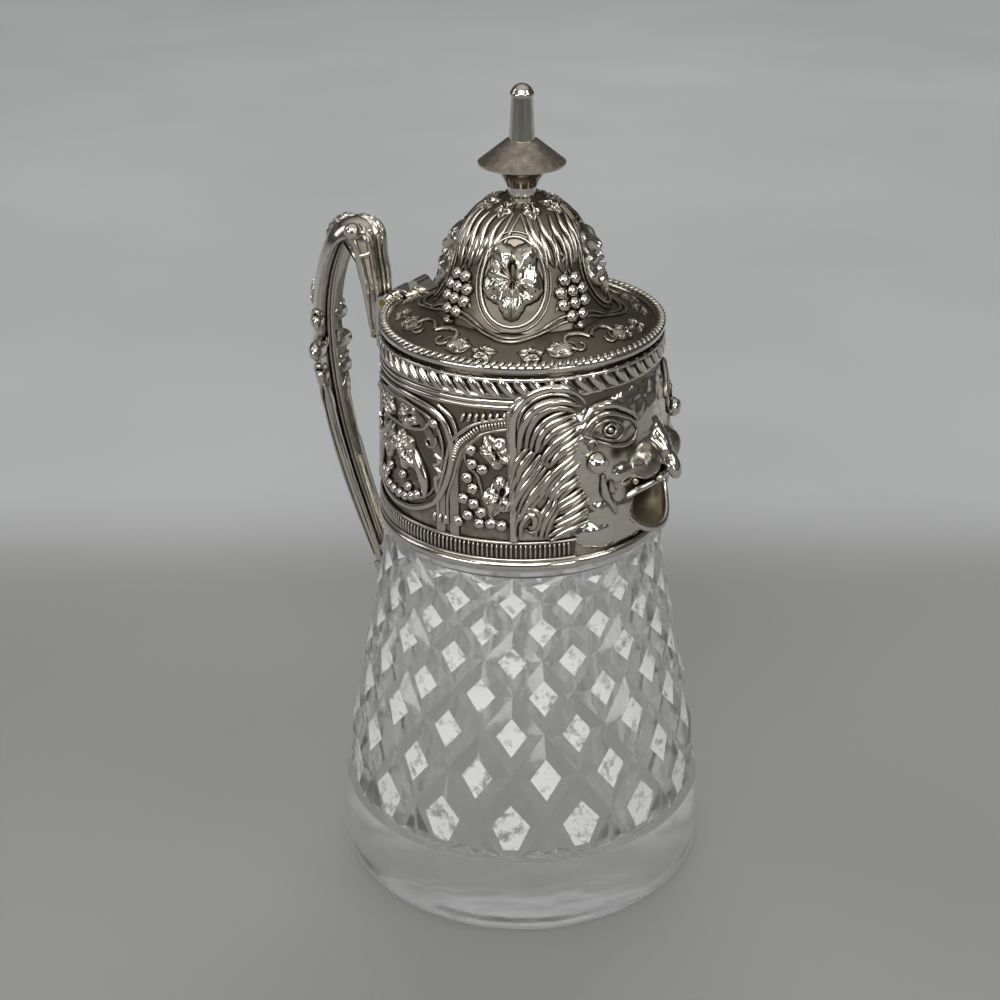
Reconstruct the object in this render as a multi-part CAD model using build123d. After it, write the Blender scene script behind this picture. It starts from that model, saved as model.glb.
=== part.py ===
from build123d import *
from math import asin, cos, pi, radians, sin, tan
import os

# A small table syrup pitcher: pressed glass body, silver plated collar with a lion mask spout,
# a leaf scroll handle and a hinged bell-domed lid with a turned finial.
# Millimetres. Z is up, the spout points to +X, the handle to -X, the origin is the base centre.

# Glass body
belly_r = 40.0
flare_start_z = 4.0
flare_run_out = 11.0
base_flat_r = 36.5
shoulder_z = 81.0
glass_wall = 4.5
glass_floor = 14.0
well_rounding = 7.0
neck_wall = 3.0
neck_height = 5.0
rim_rounding = 0.9
heel_share = 0.29

# Pressed diamond pattern
diamond_columns = 16
diamond_top_gap = 2.1
diamond_foot_z = 19.0
diamond_step = 5.2
diamond_growth = 1.12
diamond_phase = 4.0
groove_depth = 1.2
table_share = 0.5

# Collar
collar_seat_gap = 0.2
collar_height = 40.1
collar_foot_r = 28.9
collar_taper = 1.1
sheet = 0.9
solder = 0.04
cement_gap = 0.05
cement_thick = 1.6
shoulder_proud = 0.1
foot_wire_proud = 1.1
foot_wire_height = 2.1
reed_band_height = 4.2
reed_band_proud = 0.75
reed_depth = 0.35
reed_count = 96
upper_wire_height = 2.2
upper_wire_proud = 0.7
gadroon_height = 4.3
gadroon_proud = 0.6
gadroon_depth = 0.45
gadroon_count = 60
gadroon_lean = 7.0
seat_rise = 0.3
seat_depth = 1.6
seat_width = 0.75

# Arcade struck in the sleeve
arch_pitch_angle = 60.0
arch_band = 1.7
arch_proud = 0.45
arch_spring = 12.0
arch_crown_gap = 1.4

# Lion mask and pouring bore, with heights above the collar's foot and reaches beyond its radius
mask_half_angle = 61.0
mask_side_gap = 0.4
throat_half_angle = 41.0
mask_proud = 1.3
mask_arch_rise = 28.8
pour_rise = 8.8
pour_r = 4.9
jaw_r = 8.0
jaw_back = 2.3
skull_r = 14.0
skull_back = 12.4
skull_rise = 21.8
nose_reach = 7.3
nose_rise = 17.0
nose_r = 2.2
bridge_r = 3.3
brow_rise = 28.6
brow_r = 2.4
brow_tail_r = 1.3
brow_y = 2.4
brow_tail_y = 11.0
brow_fall = 2.0
eye_rise = 24.8
eye_y = 7.2
eye_r = 2.0
cheek_y = 12.6
cheek_rise = 21.6
cheek_back = 3.4
cheek_r = 2.6
pad_r = 4.3
pad_y = 3.4
lip_wire_r = 0.8
lock_columns = (31.0, 40.0, 49.0)
lock_rows = 5
lock_top = 29.5
lock_pitch = 5.1
lock_swing = 7.5
lock_fall = 5.0
lock_r = 2.1
lock_tip_r = 0.9

# Hinge
clearance = 0.3
knuckle_r = 1.5
knuckle_half = 2.3
hinge_half = 4.8
pin_r = 0.7
pin_play = 0.05
pin_end = 0.1
hinge_rise = 0.9
bracket_drop = 8.8

# Lid
border_overhang = 0.9
border_wire_r = 1.05
border_strokes = 60
stroke_depth = 0.22
border_levels = ((0, 0.45, 0), (0.9, 0, 0), (1.6, 0.35, 3.0), (2.1, 1.1, 6.0))
seat_to_lid = 0.3
flange_rise = 1.0
flat_rim_width = 2.7
flange_width = 8.3
slope_bulge_out = 0.6
slope_bulge_up = 0.2
flat_run_in = 1.0
dome_foot_rise = 4.4
dome_height = 26.1
crown_r = 3.4
crown_run_in = 0.6
bell_foot_lean = 0.55
bell_crown_fall = 0.12
core_depth = 6.0
bell_radius_shares = (0.921, 0.831, 0.746, 0.588, 0.407)
bell_height_shares = (0.299, 0.46, 0.644, 0.843, 0.954)
skirt_gap = 0.5
skirt_wall = 0.8
skirt_drop = 4.0
strap_thick = 0.9
strap_reach = 8.5
strap_end_rise = 0.5
strap_step = 0.4
knuckle_merge = 0.2
curl_r = 1.2
curl_back = 4.4
thumb_width_share = 0.85
thumb_corners = ((-0.7, -0.42), (-0.9, 1.0), (0.9, 1.6), (2.83, 0.75), (3.25, -0.42))

# Finial
ferrule_r = 2.7
ferrule_height = 2.3
disc_r = 8.55
disc_rise = 4.7
disc_height = 9.0
disc_top_r = 3.15
disc_foot_r = 3.0
disc_edge = 0.4
disc_hollow_out = 1.7
disc_hollow_share = 0.55
spindle_foot_r = 2.55
spindle_top_r = 2.1
spindle_height = 10.7
tip_rise = 1.4
bead_height = 1.2
bead_proud = 0.25
shank_r = 1.25
washer_r = 2.6
washer_height = 0.8
nut_flats = 4.6
nut_height = 2.0
shank_past_nut = 0.6

# Handle, with the grip's line as shares of its reach and of the collar's height, from the foot up,
# and its width and thickness at shares of its length
grip_outs = (0.51, 0.72, 0.9, 1.0, 0.98, 0.82, 0.57)
grip_ups = (-0.28, 0.0, 0.32, 0.67, 0.97, 1.23, 1.37)
landing_outs = (4.5, 3.0)
landing_ups = (1.377, 1.255)
leg_outs = (2.0, 1.4)
leg_knuckle_rise = 1.8
leg_foot_rise = 1.0
handle_shares = (0, 0.2, 0.4, 0.55, 0.72, 0.8, 0.88, 1.0)
handle_widths = (5.6, 6.2, 8.0, 8.6, 10.2, 9.6, 8.0, 6.0)
handle_thicks = (3.0, 3.3, 3.7, 3.9, 4.2, 3.6, 3.2, 2.8)
handle_reach = 18.9
handle_drop = 21.2
leaf_low_u = 0.40
leaf_high_u = 0.51
leaf_swell = 0.28
handle_lip = 0.5
channel_depth = 0.7
ball_r = 1.8
ball_u = 0.78
tang_thick = 1.6
tang_width = 6.0
tang_turn = 1.6
glass_gap = 0.4

# Places that follow from the sizes above
flare_rise = shoulder_z - flare_start_z + flare_run_out
throat_r = collar_foot_r + shoulder_proud
neck_r = collar_foot_r - sheet - 2 * cement_gap - cement_thick
collar_top_r = collar_foot_r - collar_taper
border_r = collar_top_r + border_overhang
flange_flat_r = border_r - flat_rim_width
dome_foot_r = flange_flat_r - flange_width
rim_z = shoulder_z + neck_height
diamond_top_z = shoulder_z - diamond_top_gap
collar_foot_z = shoulder_z + collar_seat_gap
collar_top_z = collar_foot_z + collar_height
foot_wire_r = collar_foot_r + foot_wire_proud
reed_band_z = collar_foot_z + foot_wire_height + solder
gadroon_z = collar_top_z - gadroon_height
upper_wire_z = gadroon_z - upper_wire_height - solder
pour_z = collar_foot_z + pour_rise
lid_z = collar_top_z + seat_rise + seat_to_lid
hinge_z = collar_top_z + hinge_rise
bracket_foot_z = collar_top_z - bracket_drop
hinge_x = -(border_r + clearance + knuckle_r)
bracket_x = hinge_x - knuckle_r - clearance
far = 4 * belly_r
overcut = 1.0


def glass_r(z):
    """Outer radius of the flared glass body at height z."""
    return throat_r + (belly_r - throat_r) * (1 + cos(pi * (z - flare_start_z) / flare_rise)) / 2


def collar_r(z):
    """Outer radius of the tapered collar sleeve at height z."""
    share = (z - collar_foot_z) / (collar_top_z - collar_foot_z)
    return collar_foot_r + (collar_top_r - collar_foot_r) * share


def turned(*edges):
    """A body of revolution about the pitcher's axis, from edges in the XZ plane."""
    return revolve(make_face(Wire(edges)), Axis.Z, 360)


def turned_polygon(points):
    """A body of revolution from straight edges through (radius, z) points."""
    line = Polyline(*[(r, 0, z) for r, z in points], close=True)
    return revolve(make_face(line), Axis.Z, 360)


def sleeve_solid(grow, low, high):
    """Solid frustum that follows the collar's taper, grown outwards by a distance."""
    points = [(0, low), (collar_r(low) + grow, low), (collar_r(high) + grow, high), (0, high)]
    return turned_polygon(points)


def wedge(half_angle, low, high):
    """A pie wedge round +X, used to open a ring where the lion mask sits."""
    side = far * tan(radians(half_angle))
    corners = Polyline((0, 0, low), (far, -side, low), (far, side, low), close=True)
    return extrude(make_face(corners), high - low)


def ball(radius, x, y, z):
    return Pos(x, y, z) * Sphere(radius)


def tapered_bar(start, end, start_r, end_r):
    """A round bar that tapers from one point to another."""
    run = Vector(*end) - Vector(*start)
    place = Plane(origin=start, z_dir=run)
    bar = Cone(start_r, end_r, run.length, align=(Align.CENTER, Align.CENTER, Align.MIN))
    return place * bar


def flared_side(inset, low, high, steps):
    """Points down the flared side, from high to low, set in from the outer surface."""
    heights = [high + (low - high) * i / steps for i in range(steps + 1)]
    return [(glass_r(z) - inset, 0, z) for z in heights]


def diamond_heights():
    """Heights of the groove crossings, from the top border down past the foot band, each step longer."""
    heights = [diamond_top_z]
    step = diamond_step
    while heights[-1] > diamond_foot_z:
        heights.append(heights[-1] - step)
        step *= diamond_growth
    return heights


def on_glass(angle, z, depth):
    """A point at an angle and height, sunk below the flared surface by a depth."""
    radius = glass_r(z) - depth
    return radius * cos(radians(angle)), radius * sin(radians(angle)), z


def triangle(a, b, c):
    return Face(Wire.make_polygon([a, b, c], close=True))


def diamond_cell(angle, high, middle, low):
    """One flat-topped pyramid between the grooves. A cell with no high or low point is a half."""
    half = 180 / diamond_columns
    edge = [(half, 0), (0, low - middle), (-half, 0), (0, high - middle)]
    outer = [on_glass(angle + a, middle + z, groove_depth) for a, z in edge]
    table = [on_glass(angle + a * table_share, middle + z * table_share, 0) for a, z in edge]
    faces = []
    if low < middle:
        faces.append(triangle(table[0], table[1], table[2]))
    if high > middle:
        faces.append(triangle(table[2], table[3], table[0]))
    sides = range(4) if low < middle < high else (range(2) if low < middle else range(2, 4))
    for i in sides:
        j = (i + 1) % 4
        faces.append(triangle(outer[i], outer[j], table[j]))
        faces.append(triangle(outer[i], table[j], table[i]))
    return faces


def diamond_block():
    """Solid core whose side is the whole pressed diamond pattern, cut off level at the foot."""
    heights = diamond_heights()
    last = len(heights) - 1
    pitch = 360 / diamond_columns
    faces = []
    for row, middle in enumerate(heights):
        high = heights[row - 1] if row > 0 else middle
        low = heights[row + 1] if row < last else middle
        shift = 0 if row % 2 else pitch / 2
        for column in range(diamond_columns):
            faces += diamond_cell(diamond_phase + shift + column * pitch, high, middle, low)
    for row in (0, last):
        z = heights[row]
        shift = 0 if row % 2 else pitch / 2
        rim = []
        for column in range(diamond_columns):
            angle = diamond_phase + shift + column * pitch
            rim.append(on_glass(angle - pitch / 2, z, groove_depth))
            rim.append(on_glass(angle - pitch / 2 * table_share, z, 0))
            rim.append(on_glass(angle + pitch / 2 * table_share, z, 0))
        faces.append(Face(Wire.make_polygon(rim, close=True)))
    block = Solid(Shell(faces))
    slab = Pos(0, 0, diamond_foot_z) * Box(
        far, far, diamond_top_z - diamond_foot_z + overcut, align=(Align.CENTER, Align.CENTER, Align.MIN)
    )
    return block & slab


def glass_well():
    """The hollow for the syrup, from the rounded floor up through the neck."""
    neck_in = neck_r - neck_wall
    well = flared_side(glass_wall, glass_floor + well_rounding, shoulder_z - glass_wall, 7)
    inner = Spline(*well)
    floor_arc = TangentArc(
        well[-1], (well[-1][0] - well_rounding, 0, glass_floor), tangent=inner % 1
    )
    return turned(
        Line((0, 0, rim_z + overcut), (neck_in, 0, rim_z + overcut)),
        Line((neck_in, 0, rim_z + overcut), (neck_in, 0, shoulder_z)),
        Line((neck_in, 0, shoulder_z), well[0]),
        inner,
        floor_arc,
        Line(floor_arc @ 1, (0, 0, glass_floor)),
        Line((0, 0, glass_floor), (0, 0, rim_z + overcut)),
    )


def glass_foot():
    """Plain thick base band under the pattern, with a rounded heel."""
    side = flared_side(0, flare_start_z, diamond_foot_z, 3)
    heel_in = (belly_r - base_flat_r) * heel_share
    return turned(
        Line((0, 0, 0), (base_flat_r, 0, 0)),
        ThreePointArc((base_flat_r, 0, 0), (belly_r - heel_in, 0, heel_in), side[-1]),
        Spline(*side),
        Line(side[0], (0, 0, diamond_foot_z)),
        Line((0, 0, diamond_foot_z), (0, 0, 0)),
    )


def glass_shoulder():
    """Plain band above the pattern and the neck that goes up inside the collar."""
    neck_in = neck_r - neck_wall
    low = diamond_top_z
    soft_z = rim_z - rim_rounding
    return turned(
        Line((0, 0, low), (glass_r(low), 0, low)),
        Line((glass_r(low), 0, low), (glass_r(shoulder_z), 0, shoulder_z)),
        Line((glass_r(shoulder_z), 0, shoulder_z), (neck_r, 0, shoulder_z)),
        Line((neck_r, 0, shoulder_z), (neck_r, 0, soft_z)),
        ThreePointArc((neck_r, 0, soft_z), (neck_r - neck_wall / 2, 0, rim_z), (neck_in, 0, soft_z)),
        Line((neck_in, 0, soft_z), (0, 0, soft_z)),
        Line((0, 0, soft_z), (0, 0, low)),
    )


def glass_body():
    """Pressed glass: thick base, flared wall with the diamond pattern, and a plain neck."""
    return glass_foot() + diamond_block() + glass_shoulder() - glass_well()


def cement_bed():
    """Plaster that beds the collar on the glass neck."""
    top = rim_z - rim_rounding
    inner = neck_r + cement_gap
    low_r = collar_r(collar_foot_z) - sheet - cement_gap
    high_r = collar_r(top) - sheet - cement_gap
    low = collar_foot_z
    return turned_polygon([(inner, low), (low_r, low), (high_r, top), (inner, top)])


def pour_bore(radius):
    """The round way from inside the collar out through the lion's mouth."""
    bore = Cylinder(radius, far, align=(Align.CENTER, Align.CENTER, Align.MIN))
    return Pos(0, 0, pour_z) * Rot(0, 90, 0) * bore


def arch_rib(angle):
    """One arch of the arcade, standing a little proud of the sleeve."""
    half = collar_foot_r * sin(radians(arch_pitch_angle / 2)) - arch_band / 4
    low = reed_band_z + reed_band_height
    spring = low + arch_spring
    crown = upper_wire_z - arch_crown_gap
    inner = half - arch_band
    outline = make_face(
        Wire(
            [
                Line((0, -half, low), (0, -half, spring)),
                ThreePointArc((0, -half, spring), (0, 0, crown), (0, half, spring)),
                Line((0, half, spring), (0, half, low)),
                Line((0, half, low), (0, inner, low)),
                Line((0, inner, low), (0, inner, spring)),
                ThreePointArc((0, inner, spring), (0, 0, crown - arch_band), (0, -inner, spring)),
                Line((0, -inner, spring), (0, -inner, low)),
                Line((0, -inner, low), (0, -half, low)),
            ]
        )
    )
    return Rot(0, 0, angle) * extrude(outline, far, dir=(1, 0, 0))


def arcade():
    """The arches round the sleeve, all but those that the lion mask covers."""
    low = reed_band_z + reed_band_height
    ring = sleeve_solid(arch_proud, low, upper_wire_z)
    ring -= sleeve_solid(-sheet / 2, low - overcut, upper_wire_z + overcut)
    ribs = arch_rib(arch_pitch_angle)
    for i in range(2, round(360 / arch_pitch_angle)):
        ribs += arch_rib(i * arch_pitch_angle)
    return ring & ribs - wedge(mask_half_angle, low - overcut, upper_wire_z + overcut)


def collar_sleeve():
    """Struck tapered sleeve with its arcade, and the pouring hole pierced in front."""
    outer = sleeve_solid(0, collar_foot_z, collar_top_z)
    inner = sleeve_solid(-sheet, collar_foot_z, collar_top_z)
    return outer - inner + arcade() - pour_bore(pour_r)


def seat_ring():
    """Rim wire soldered inside the collar's mouth, which the lid rests on."""
    outer = collar_r(collar_top_z) - sheet - solder
    low = collar_top_z - seat_depth
    high = collar_top_z + seat_rise
    inner = outer - seat_width
    return turned_polygon([(inner, low), (outer, low), (outer, high), (inner, high)])


def toothed_outline(count, outer, depth, turn):
    """A closed zigzag outline with one raised and one sunk corner for each tooth."""
    points = []
    for i in range(2 * count):
        radius = outer - depth * (i % 2)
        angle = radians(180 * i / count + turn)
        points.append((radius * cos(angle), radius * sin(angle)))
    return make_face(Polyline(*points, close=True))


def gadroon_band():
    """Band of leaning flutes round the collar's top edge."""
    height = collar_top_z - gadroon_z
    outer = collar_r(gadroon_z) + gadroon_proud
    foot = Pos(0, 0, gadroon_z) * toothed_outline(gadroon_count, outer, gadroon_depth, 0)
    head = Pos(0, 0, gadroon_z + height) * toothed_outline(
        gadroon_count, outer, gadroon_depth, gadroon_lean
    )
    return loft([foot, head], ruled=True) - sleeve_solid(solder, gadroon_z, collar_top_z)


def wire_ring(z, height, proud, opening):
    """Half-round wire soldered round the collar, open where the mask interrupts it."""
    back = collar_r(z) + solder
    profile = [
        Line((back, 0, z), (back, 0, z + height)),
        Line((back, 0, z + height), (back + proud / 3, 0, z + height)),
        ThreePointArc(
            (back + proud / 3, 0, z + height),
            (back + proud, 0, z + height / 2),
            (back + proud / 3, 0, z),
        ),
        Line((back + proud / 3, 0, z), (back, 0, z)),
    ]
    ring = turned(*profile)
    if opening:
        ring -= wedge(opening, z - overcut, z + height + overcut)
    return ring


def upper_wire():
    """Two smooth wires side by side under the gadroon band."""
    half = upper_wire_height / 2
    low = wire_ring(upper_wire_z, half, upper_wire_proud, mask_half_angle)
    high = wire_ring(upper_wire_z + half, half, upper_wire_proud, mask_half_angle)
    return low + high


def foot_wire():
    """Stout wire round the collar's lower edge."""
    proud = foot_wire_r - collar_r(collar_foot_z) - solder
    return wire_ring(collar_foot_z, foot_wire_height, proud, 0)


def reeded_band():
    """Milled band of upright reeds above the foot wire, open under the lion's throat."""
    outer = collar_r(reed_band_z) + reed_band_proud
    outline = toothed_outline(reed_count, outer, reed_depth, 0)
    band = Pos(0, 0, reed_band_z) * extrude(outline, reed_band_height)
    band -= sleeve_solid(solder, reed_band_z, reed_band_z + reed_band_height)
    low = reed_band_z - overcut
    return band - wedge(throat_half_angle, low, reed_band_z + reed_band_height + overcut)


def mask_shield():
    """Curved plate of the mane, arched on top and narrower at the throat."""
    low = reed_band_z
    high = upper_wire_z + upper_wire_height
    arch_z = collar_foot_z + mask_arch_rise
    plate = sleeve_solid(mask_proud, low, high)
    plate &= wedge(mask_half_angle - mask_side_gap, low, high)
    half = collar_foot_r * sin(radians(mask_half_angle)) + mask_proud
    throat = collar_foot_r * sin(radians(throat_half_angle)) - 2 * clearance
    reed_top = reed_band_z + reed_band_height + clearance
    outline = make_face(
        Wire(
            [
                Line((0, -throat, low), (0, throat, low)),
                Line((0, throat, low), (0, throat, reed_top)),
                Line((0, throat, reed_top), (0, half, reed_top)),
                Line((0, half, reed_top), (0, half, arch_z)),
                ThreePointArc((0, half, arch_z), (0, 0, high), (0, -half, arch_z)),
                Line((0, -half, arch_z), (0, -half, reed_top)),
                Line((0, -half, reed_top), (0, -throat, reed_top)),
                Line((0, -throat, reed_top), (0, -throat, low)),
            ]
        )
    )
    return plate & extrude(outline, far, dir=(1, 0, 0))


def on_mask(angle, z):
    """A point on the mane's plate at an angle from the spout."""
    radius = collar_r(z) + mask_proud - lock_r / 3
    return radius * cos(radians(angle)), radius * sin(radians(angle)), z


def mane_locks():
    """Rows of tapered locks that fall outwards and down from the face, clear of the reeded band."""
    lowest = reed_band_z + reed_band_height + clearance + lock_r
    locks = []
    for side in (-1, 1):
        for column, angle in enumerate(lock_columns):
            offset = column % 2
            for row in range(lock_rows - offset):
                z = collar_foot_z + lock_top - lock_pitch * (row + offset / 2)
                root = on_mask(side * angle, z)
                tip = on_mask(side * (angle + lock_swing), max(z - lock_fall, lowest))
                locks.append(tapered_bar(root, tip, lock_r, lock_tip_r))
                locks.append(ball(lock_r, *root))
    return locks


def face_forms():
    """Skull, brows, eyes, cheeks, long nose, whisker pads and the jaw with its rolled lip."""
    tip_x = collar_foot_r + nose_reach - nose_r
    brow_x = collar_foot_r - brow_r / 2
    brow_z = collar_foot_z + brow_rise
    nose_z = collar_foot_z + nose_rise
    jaw_x = collar_foot_r - jaw_back
    lip_r = pour_r + lip_wire_r / 2
    lip_x = jaw_x + (jaw_r**2 - lip_r**2) ** 0.5
    forms = [
        ball(skull_r, collar_foot_r - skull_back, 0, collar_foot_z + skull_rise),
        ball(jaw_r, jaw_x, 0, pour_z),
        Pos(lip_x, 0, pour_z) * Rot(0, 90, 0) * Torus(lip_r, lip_wire_r),
        tapered_bar((brow_x, 0, brow_z), (tip_x, 0, nose_z + nose_r / 4), bridge_r, nose_r),
        ball(nose_r, tip_x, 0, nose_z),
    ]
    for side in (-1, 1):
        pad = (collar_foot_r + pad_y / 2, side * pad_y, nose_z - nose_r / 4)
        cheek = (collar_foot_r - cheek_back, side * cheek_y, collar_foot_z + cheek_rise)
        brow = (brow_x, side * brow_y, brow_z)
        brow_tail = (brow_x - brow_fall, side * brow_tail_y, brow_z - brow_fall)
        forms.append(ball(pad_r, *pad))
        forms.append(ball(cheek_r, *cheek))
        forms.append(tapered_bar(pad, cheek, pad_r - nose_r / 2, cheek_r))
        forms.append(ball(brow_r, *brow))
        forms.append(tapered_bar(brow, brow_tail, brow_r, brow_tail_r))
        forms.append(ball(brow_tail_r, *brow_tail))
        forms.append(ball(eye_r, collar_foot_r - eye_r / 3, side * eye_y, collar_foot_z + eye_rise))
    return forms


def lion_mask():
    """Cast lion's head on the mane's plate, bored through for pouring."""
    head = mask_shield() + face_forms() + mane_locks()
    under = Box(far, far, far, align=(Align.CENTER, Align.CENTER, Align.MAX))
    head -= Pos(0, 0, reed_band_z) * under
    head -= sleeve_solid(solder, reed_band_z - jaw_r, collar_top_z + jaw_r)
    return head - pour_bore(pour_r)


def handle_line():
    """Centre line of the handle, from the stem's lower tip over the crook to its landing."""
    foot_z = collar_foot_z - handle_drop
    foot_x = -(glass_r(foot_z) + glass_gap + 2 * tang_thick)
    landing = bracket_x - solder
    points = [(foot_x, 0, foot_z)]
    for out, up in zip(grip_outs, grip_ups):
        points.append((-(foot_wire_r + handle_reach * out), 0, collar_foot_z + collar_height * up))
    for out, up in zip(landing_outs, landing_ups):
        points.append((landing - out, 0, collar_foot_z + collar_height * up))
    points.append((landing - leg_outs[0], 0, hinge_z + leg_knuckle_rise))
    points.append((landing - leg_outs[1], 0, bracket_foot_z + leg_foot_rise))
    return Spline(*points)


def handle_size(u):
    """Width and thickness of the handle at a share of its length."""
    stations = list(zip(handle_shares, handle_widths, handle_thicks))
    for (u0, w0, t0), (u1, w1, t1) in zip(stations, stations[1:]):
        if u <= u1:
            share = (u - u0) / (u1 - u0)
            return w0 + (w1 - w0) * share, t0 + (t1 - t0) * share
    return stations[-1][1:]


def handle_section(line, u, grow):
    """Cross-section: crowned outside, with a shallow channel down the inner face."""
    width, thick = handle_size(u)
    half = width / 2 * grow
    top = thick / 2 * grow
    foot = -thick / 2
    inner_half = half - handle_lip
    outline = make_face(
        Wire(
            [
                ThreePointArc((-half, foot + handle_lip), (0, top), (half, foot + handle_lip)),
                Line((half, foot + handle_lip), (inner_half, foot)),
                ThreePointArc((inner_half, foot), (0, foot + channel_depth), (-inner_half, foot)),
                Line((-inner_half, foot), (-half, foot + handle_lip)),
            ]
        )
    )
    return Plane(origin=line @ u, x_dir=(0, 1, 0), z_dir=line % u) * outline


def handle_span(low_u, high_u, steps, swell):
    """A stretch of the handle lofted through sections, with a swelling in its middle."""
    line = handle_line()
    sections = []
    for i in range(steps + 1):
        share = i / steps
        grow = 1 + swell * sin(pi * share) ** 2
        sections.append(handle_section(line, low_u + (high_u - low_u) * share, grow))
    return loft(sections)


def handle_stem():
    """Slender stem from its lower tip up to the leaf node."""
    return handle_span(0, leaf_low_u, 6, 0)


def handle_leaf_node():
    """Swollen node where the leaves wrap the stem."""
    return handle_span(leaf_low_u, leaf_high_u, 4, leaf_swell)


def handle_crook():
    """Crook over the top and the leg that lands on the hinge bracket."""
    return handle_span(leaf_high_u, 1.0, 14, 0)


def handle_ball():
    """Small ball boss on the near side of the crook."""
    line = handle_line()
    middle = line @ ball_u
    half = handle_size(ball_u)[0] / 2
    boss = ball(ball_r, middle.X, -half, middle.Z)
    return boss - handle_crook()


def handle_tang():
    """Strap that turns back under the stem and runs up the glass to the foot wire."""
    line = handle_line()
    down = line % 0 * -1
    start = line @ 0 + down * solder
    turn = line @ 0 + down * tang_turn
    off = glass_gap + tang_thick / 2
    seat_x = -(foot_wire_r + solder + tang_thick / 2)
    bend = TangentArc(
        (turn.X, 0, turn.Z), (-(glass_r(turn.Z) + off), 0, turn.Z + solder), tangent=down
    )
    top = (seat_x, 0, collar_foot_z + foot_wire_height)
    route = Wire([Line((start.X, 0, start.Z), (turn.X, 0, turn.Z)), bend, Line(bend @ 1, top)])
    section = Rectangle(tang_width, tang_thick)
    strap = Plane(origin=route @ 0, x_dir=(0, 1, 0), z_dir=route % 0) * section
    return sweep(strap, path=route, transition=Transition.RIGHT)


def hinge_barrel(radius, low_y, high_y):
    """A cylinder on the hinge axis between two places across the pitcher."""
    barrel = Cylinder(radius, high_y - low_y)
    return Pos(hinge_x, (low_y + high_y) / 2, hinge_z) * Rot(90, 0, 0) * barrel


def hinge_bracket():
    """Plate soldered to the collar's back, with two knuckles that hold the pin."""
    gap_half = knuckle_half + clearance
    back = bracket_x
    front = -(collar_r(gadroon_z) - sheet)
    plate_top = hinge_z - knuckle_r - clearance
    plate = Pos((back + front) / 2, 0, (bracket_foot_z + plate_top) / 2) * Box(
        front - back, 2 * hinge_half, plate_top - bracket_foot_z
    )
    for side in (-1, 1):
        middle = side * (gap_half + hinge_half) / 2
        width = hinge_half - gap_half
        plate += Pos((back + hinge_x) / 2, middle, (plate_top + hinge_z) / 2) * Box(
            hinge_x - back, width, hinge_z - plate_top
        )
        plate += hinge_barrel(knuckle_r, middle - width / 2, middle + width / 2)
    ring_r = collar_r(upper_wire_z) + upper_wire_proud + 2 * solder
    low = bracket_foot_z - overcut
    high = collar_top_z + seat_rise
    plate -= turned_polygon([(0, low), (ring_r, low), (ring_r, high), (0, high)])
    return plate - hinge_barrel(pin_r + pin_play, -hinge_half - overcut, hinge_half + overcut)


def hinge_pin():
    return hinge_barrel(pin_r, -hinge_half - pin_end, hinge_half + pin_end)


def dome_profile():
    """Outer line of the lid in the XZ plane: flat rim, sloping flange and bell dome."""
    top = lid_z + dome_height
    flange_top = lid_z + flange_rise
    dome_z = lid_z + dome_foot_rise
    rim_in = border_r - 2 * border_wire_r
    flat = Line((rim_in, 0, flange_top), (flange_flat_r, 0, flange_top))
    slope = ThreePointArc(
        (flange_flat_r, 0, flange_top),
        (
            (flange_flat_r + dome_foot_r) / 2 + slope_bulge_out,
            0,
            (flange_top + dome_z) / 2 + slope_bulge_up,
        ),
        (dome_foot_r, 0, dome_z),
    )
    bell_points = [
        (dome_foot_r * out, 0, lid_z + dome_height * up)
        for out, up in zip(bell_radius_shares, bell_height_shares)
    ]
    bell = Spline(
        (dome_foot_r, 0, dome_z),
        *bell_points,
        (crown_r, 0, top),
        tangents=[(-bell_foot_lean, 0, 1), (-1, 0, bell_crown_fall)],
    )
    crown = Line((crown_r, 0, top), (0, 0, top))
    return [flat, slope, bell, crown]


def dome_core():
    """Everything under the lid's outer surface, used to seat pieces on it."""
    profile = dome_profile()
    start = profile[0] @ 0
    low = lid_z - core_depth
    edges = profile + [
        Line(profile[-1] @ 1, (0, 0, low)),
        Line((0, 0, low), (start.X, 0, low)),
        Line((start.X, 0, low), start),
    ]
    return turned(*edges)


def shank_hole():
    hole = Cylinder(shank_r + pin_play, far, align=(Align.CENTER, Align.CENTER, Align.MIN))
    return Pos(0, 0, lid_z + dome_foot_rise) * hole


def lid_cover():
    """Struck lid: one sheet from the flat rim over the flange and the bell dome."""
    return lid_sheet() - shank_hole()


def inset_profile():
    """Inner line of the lid sheet, one sheet thickness inside the outer line."""
    flat, slope, bell, crown = dome_profile()
    step = sheet
    points = []
    for edge, count in ((slope, 3), (bell, 7)):
        for i in range(count):
            u = (i + 0.5) / count
            direction = edge % u
            normal = Vector(direction.Z, 0, -direction.X)
            if normal.X > 0:
                normal = normal * -1
            points.append(edge @ u + normal * step)
    rim = flat @ 0
    rim_turn = (flange_flat_r - flat_run_in, 0, rim.Z - step)
    first = Line((rim.X, 0, rim.Z - step), rim_turn)
    top = crown @ 0
    curve = Spline(rim_turn, *points, (top.X - crown_run_in, 0, top.Z - step))
    last = Line(curve @ 1, (0, 0, top.Z - step))
    return [first, curve, last]


def rope_border():
    """Roped wire round the lid's edge. Each level has its height, how far it draws in, and its turn."""
    back = border_r - 2 * border_wire_r + solder
    slices = []
    for rise, drawn_in, turn in border_levels:
        outer = border_r - drawn_in
        cut = solder / 4 if turn == 0 else stroke_depth
        slices.append(Pos(0, 0, lid_z + rise) * toothed_outline(border_strokes, outer, cut, turn))
    ring = loft(slices, ruled=True)
    low = lid_z - overcut
    high = lid_z + 2 * border_wire_r + overcut
    bore = turned_polygon([(0, low), (back, low), (back, high), (0, high)])
    return ring - bore


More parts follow.
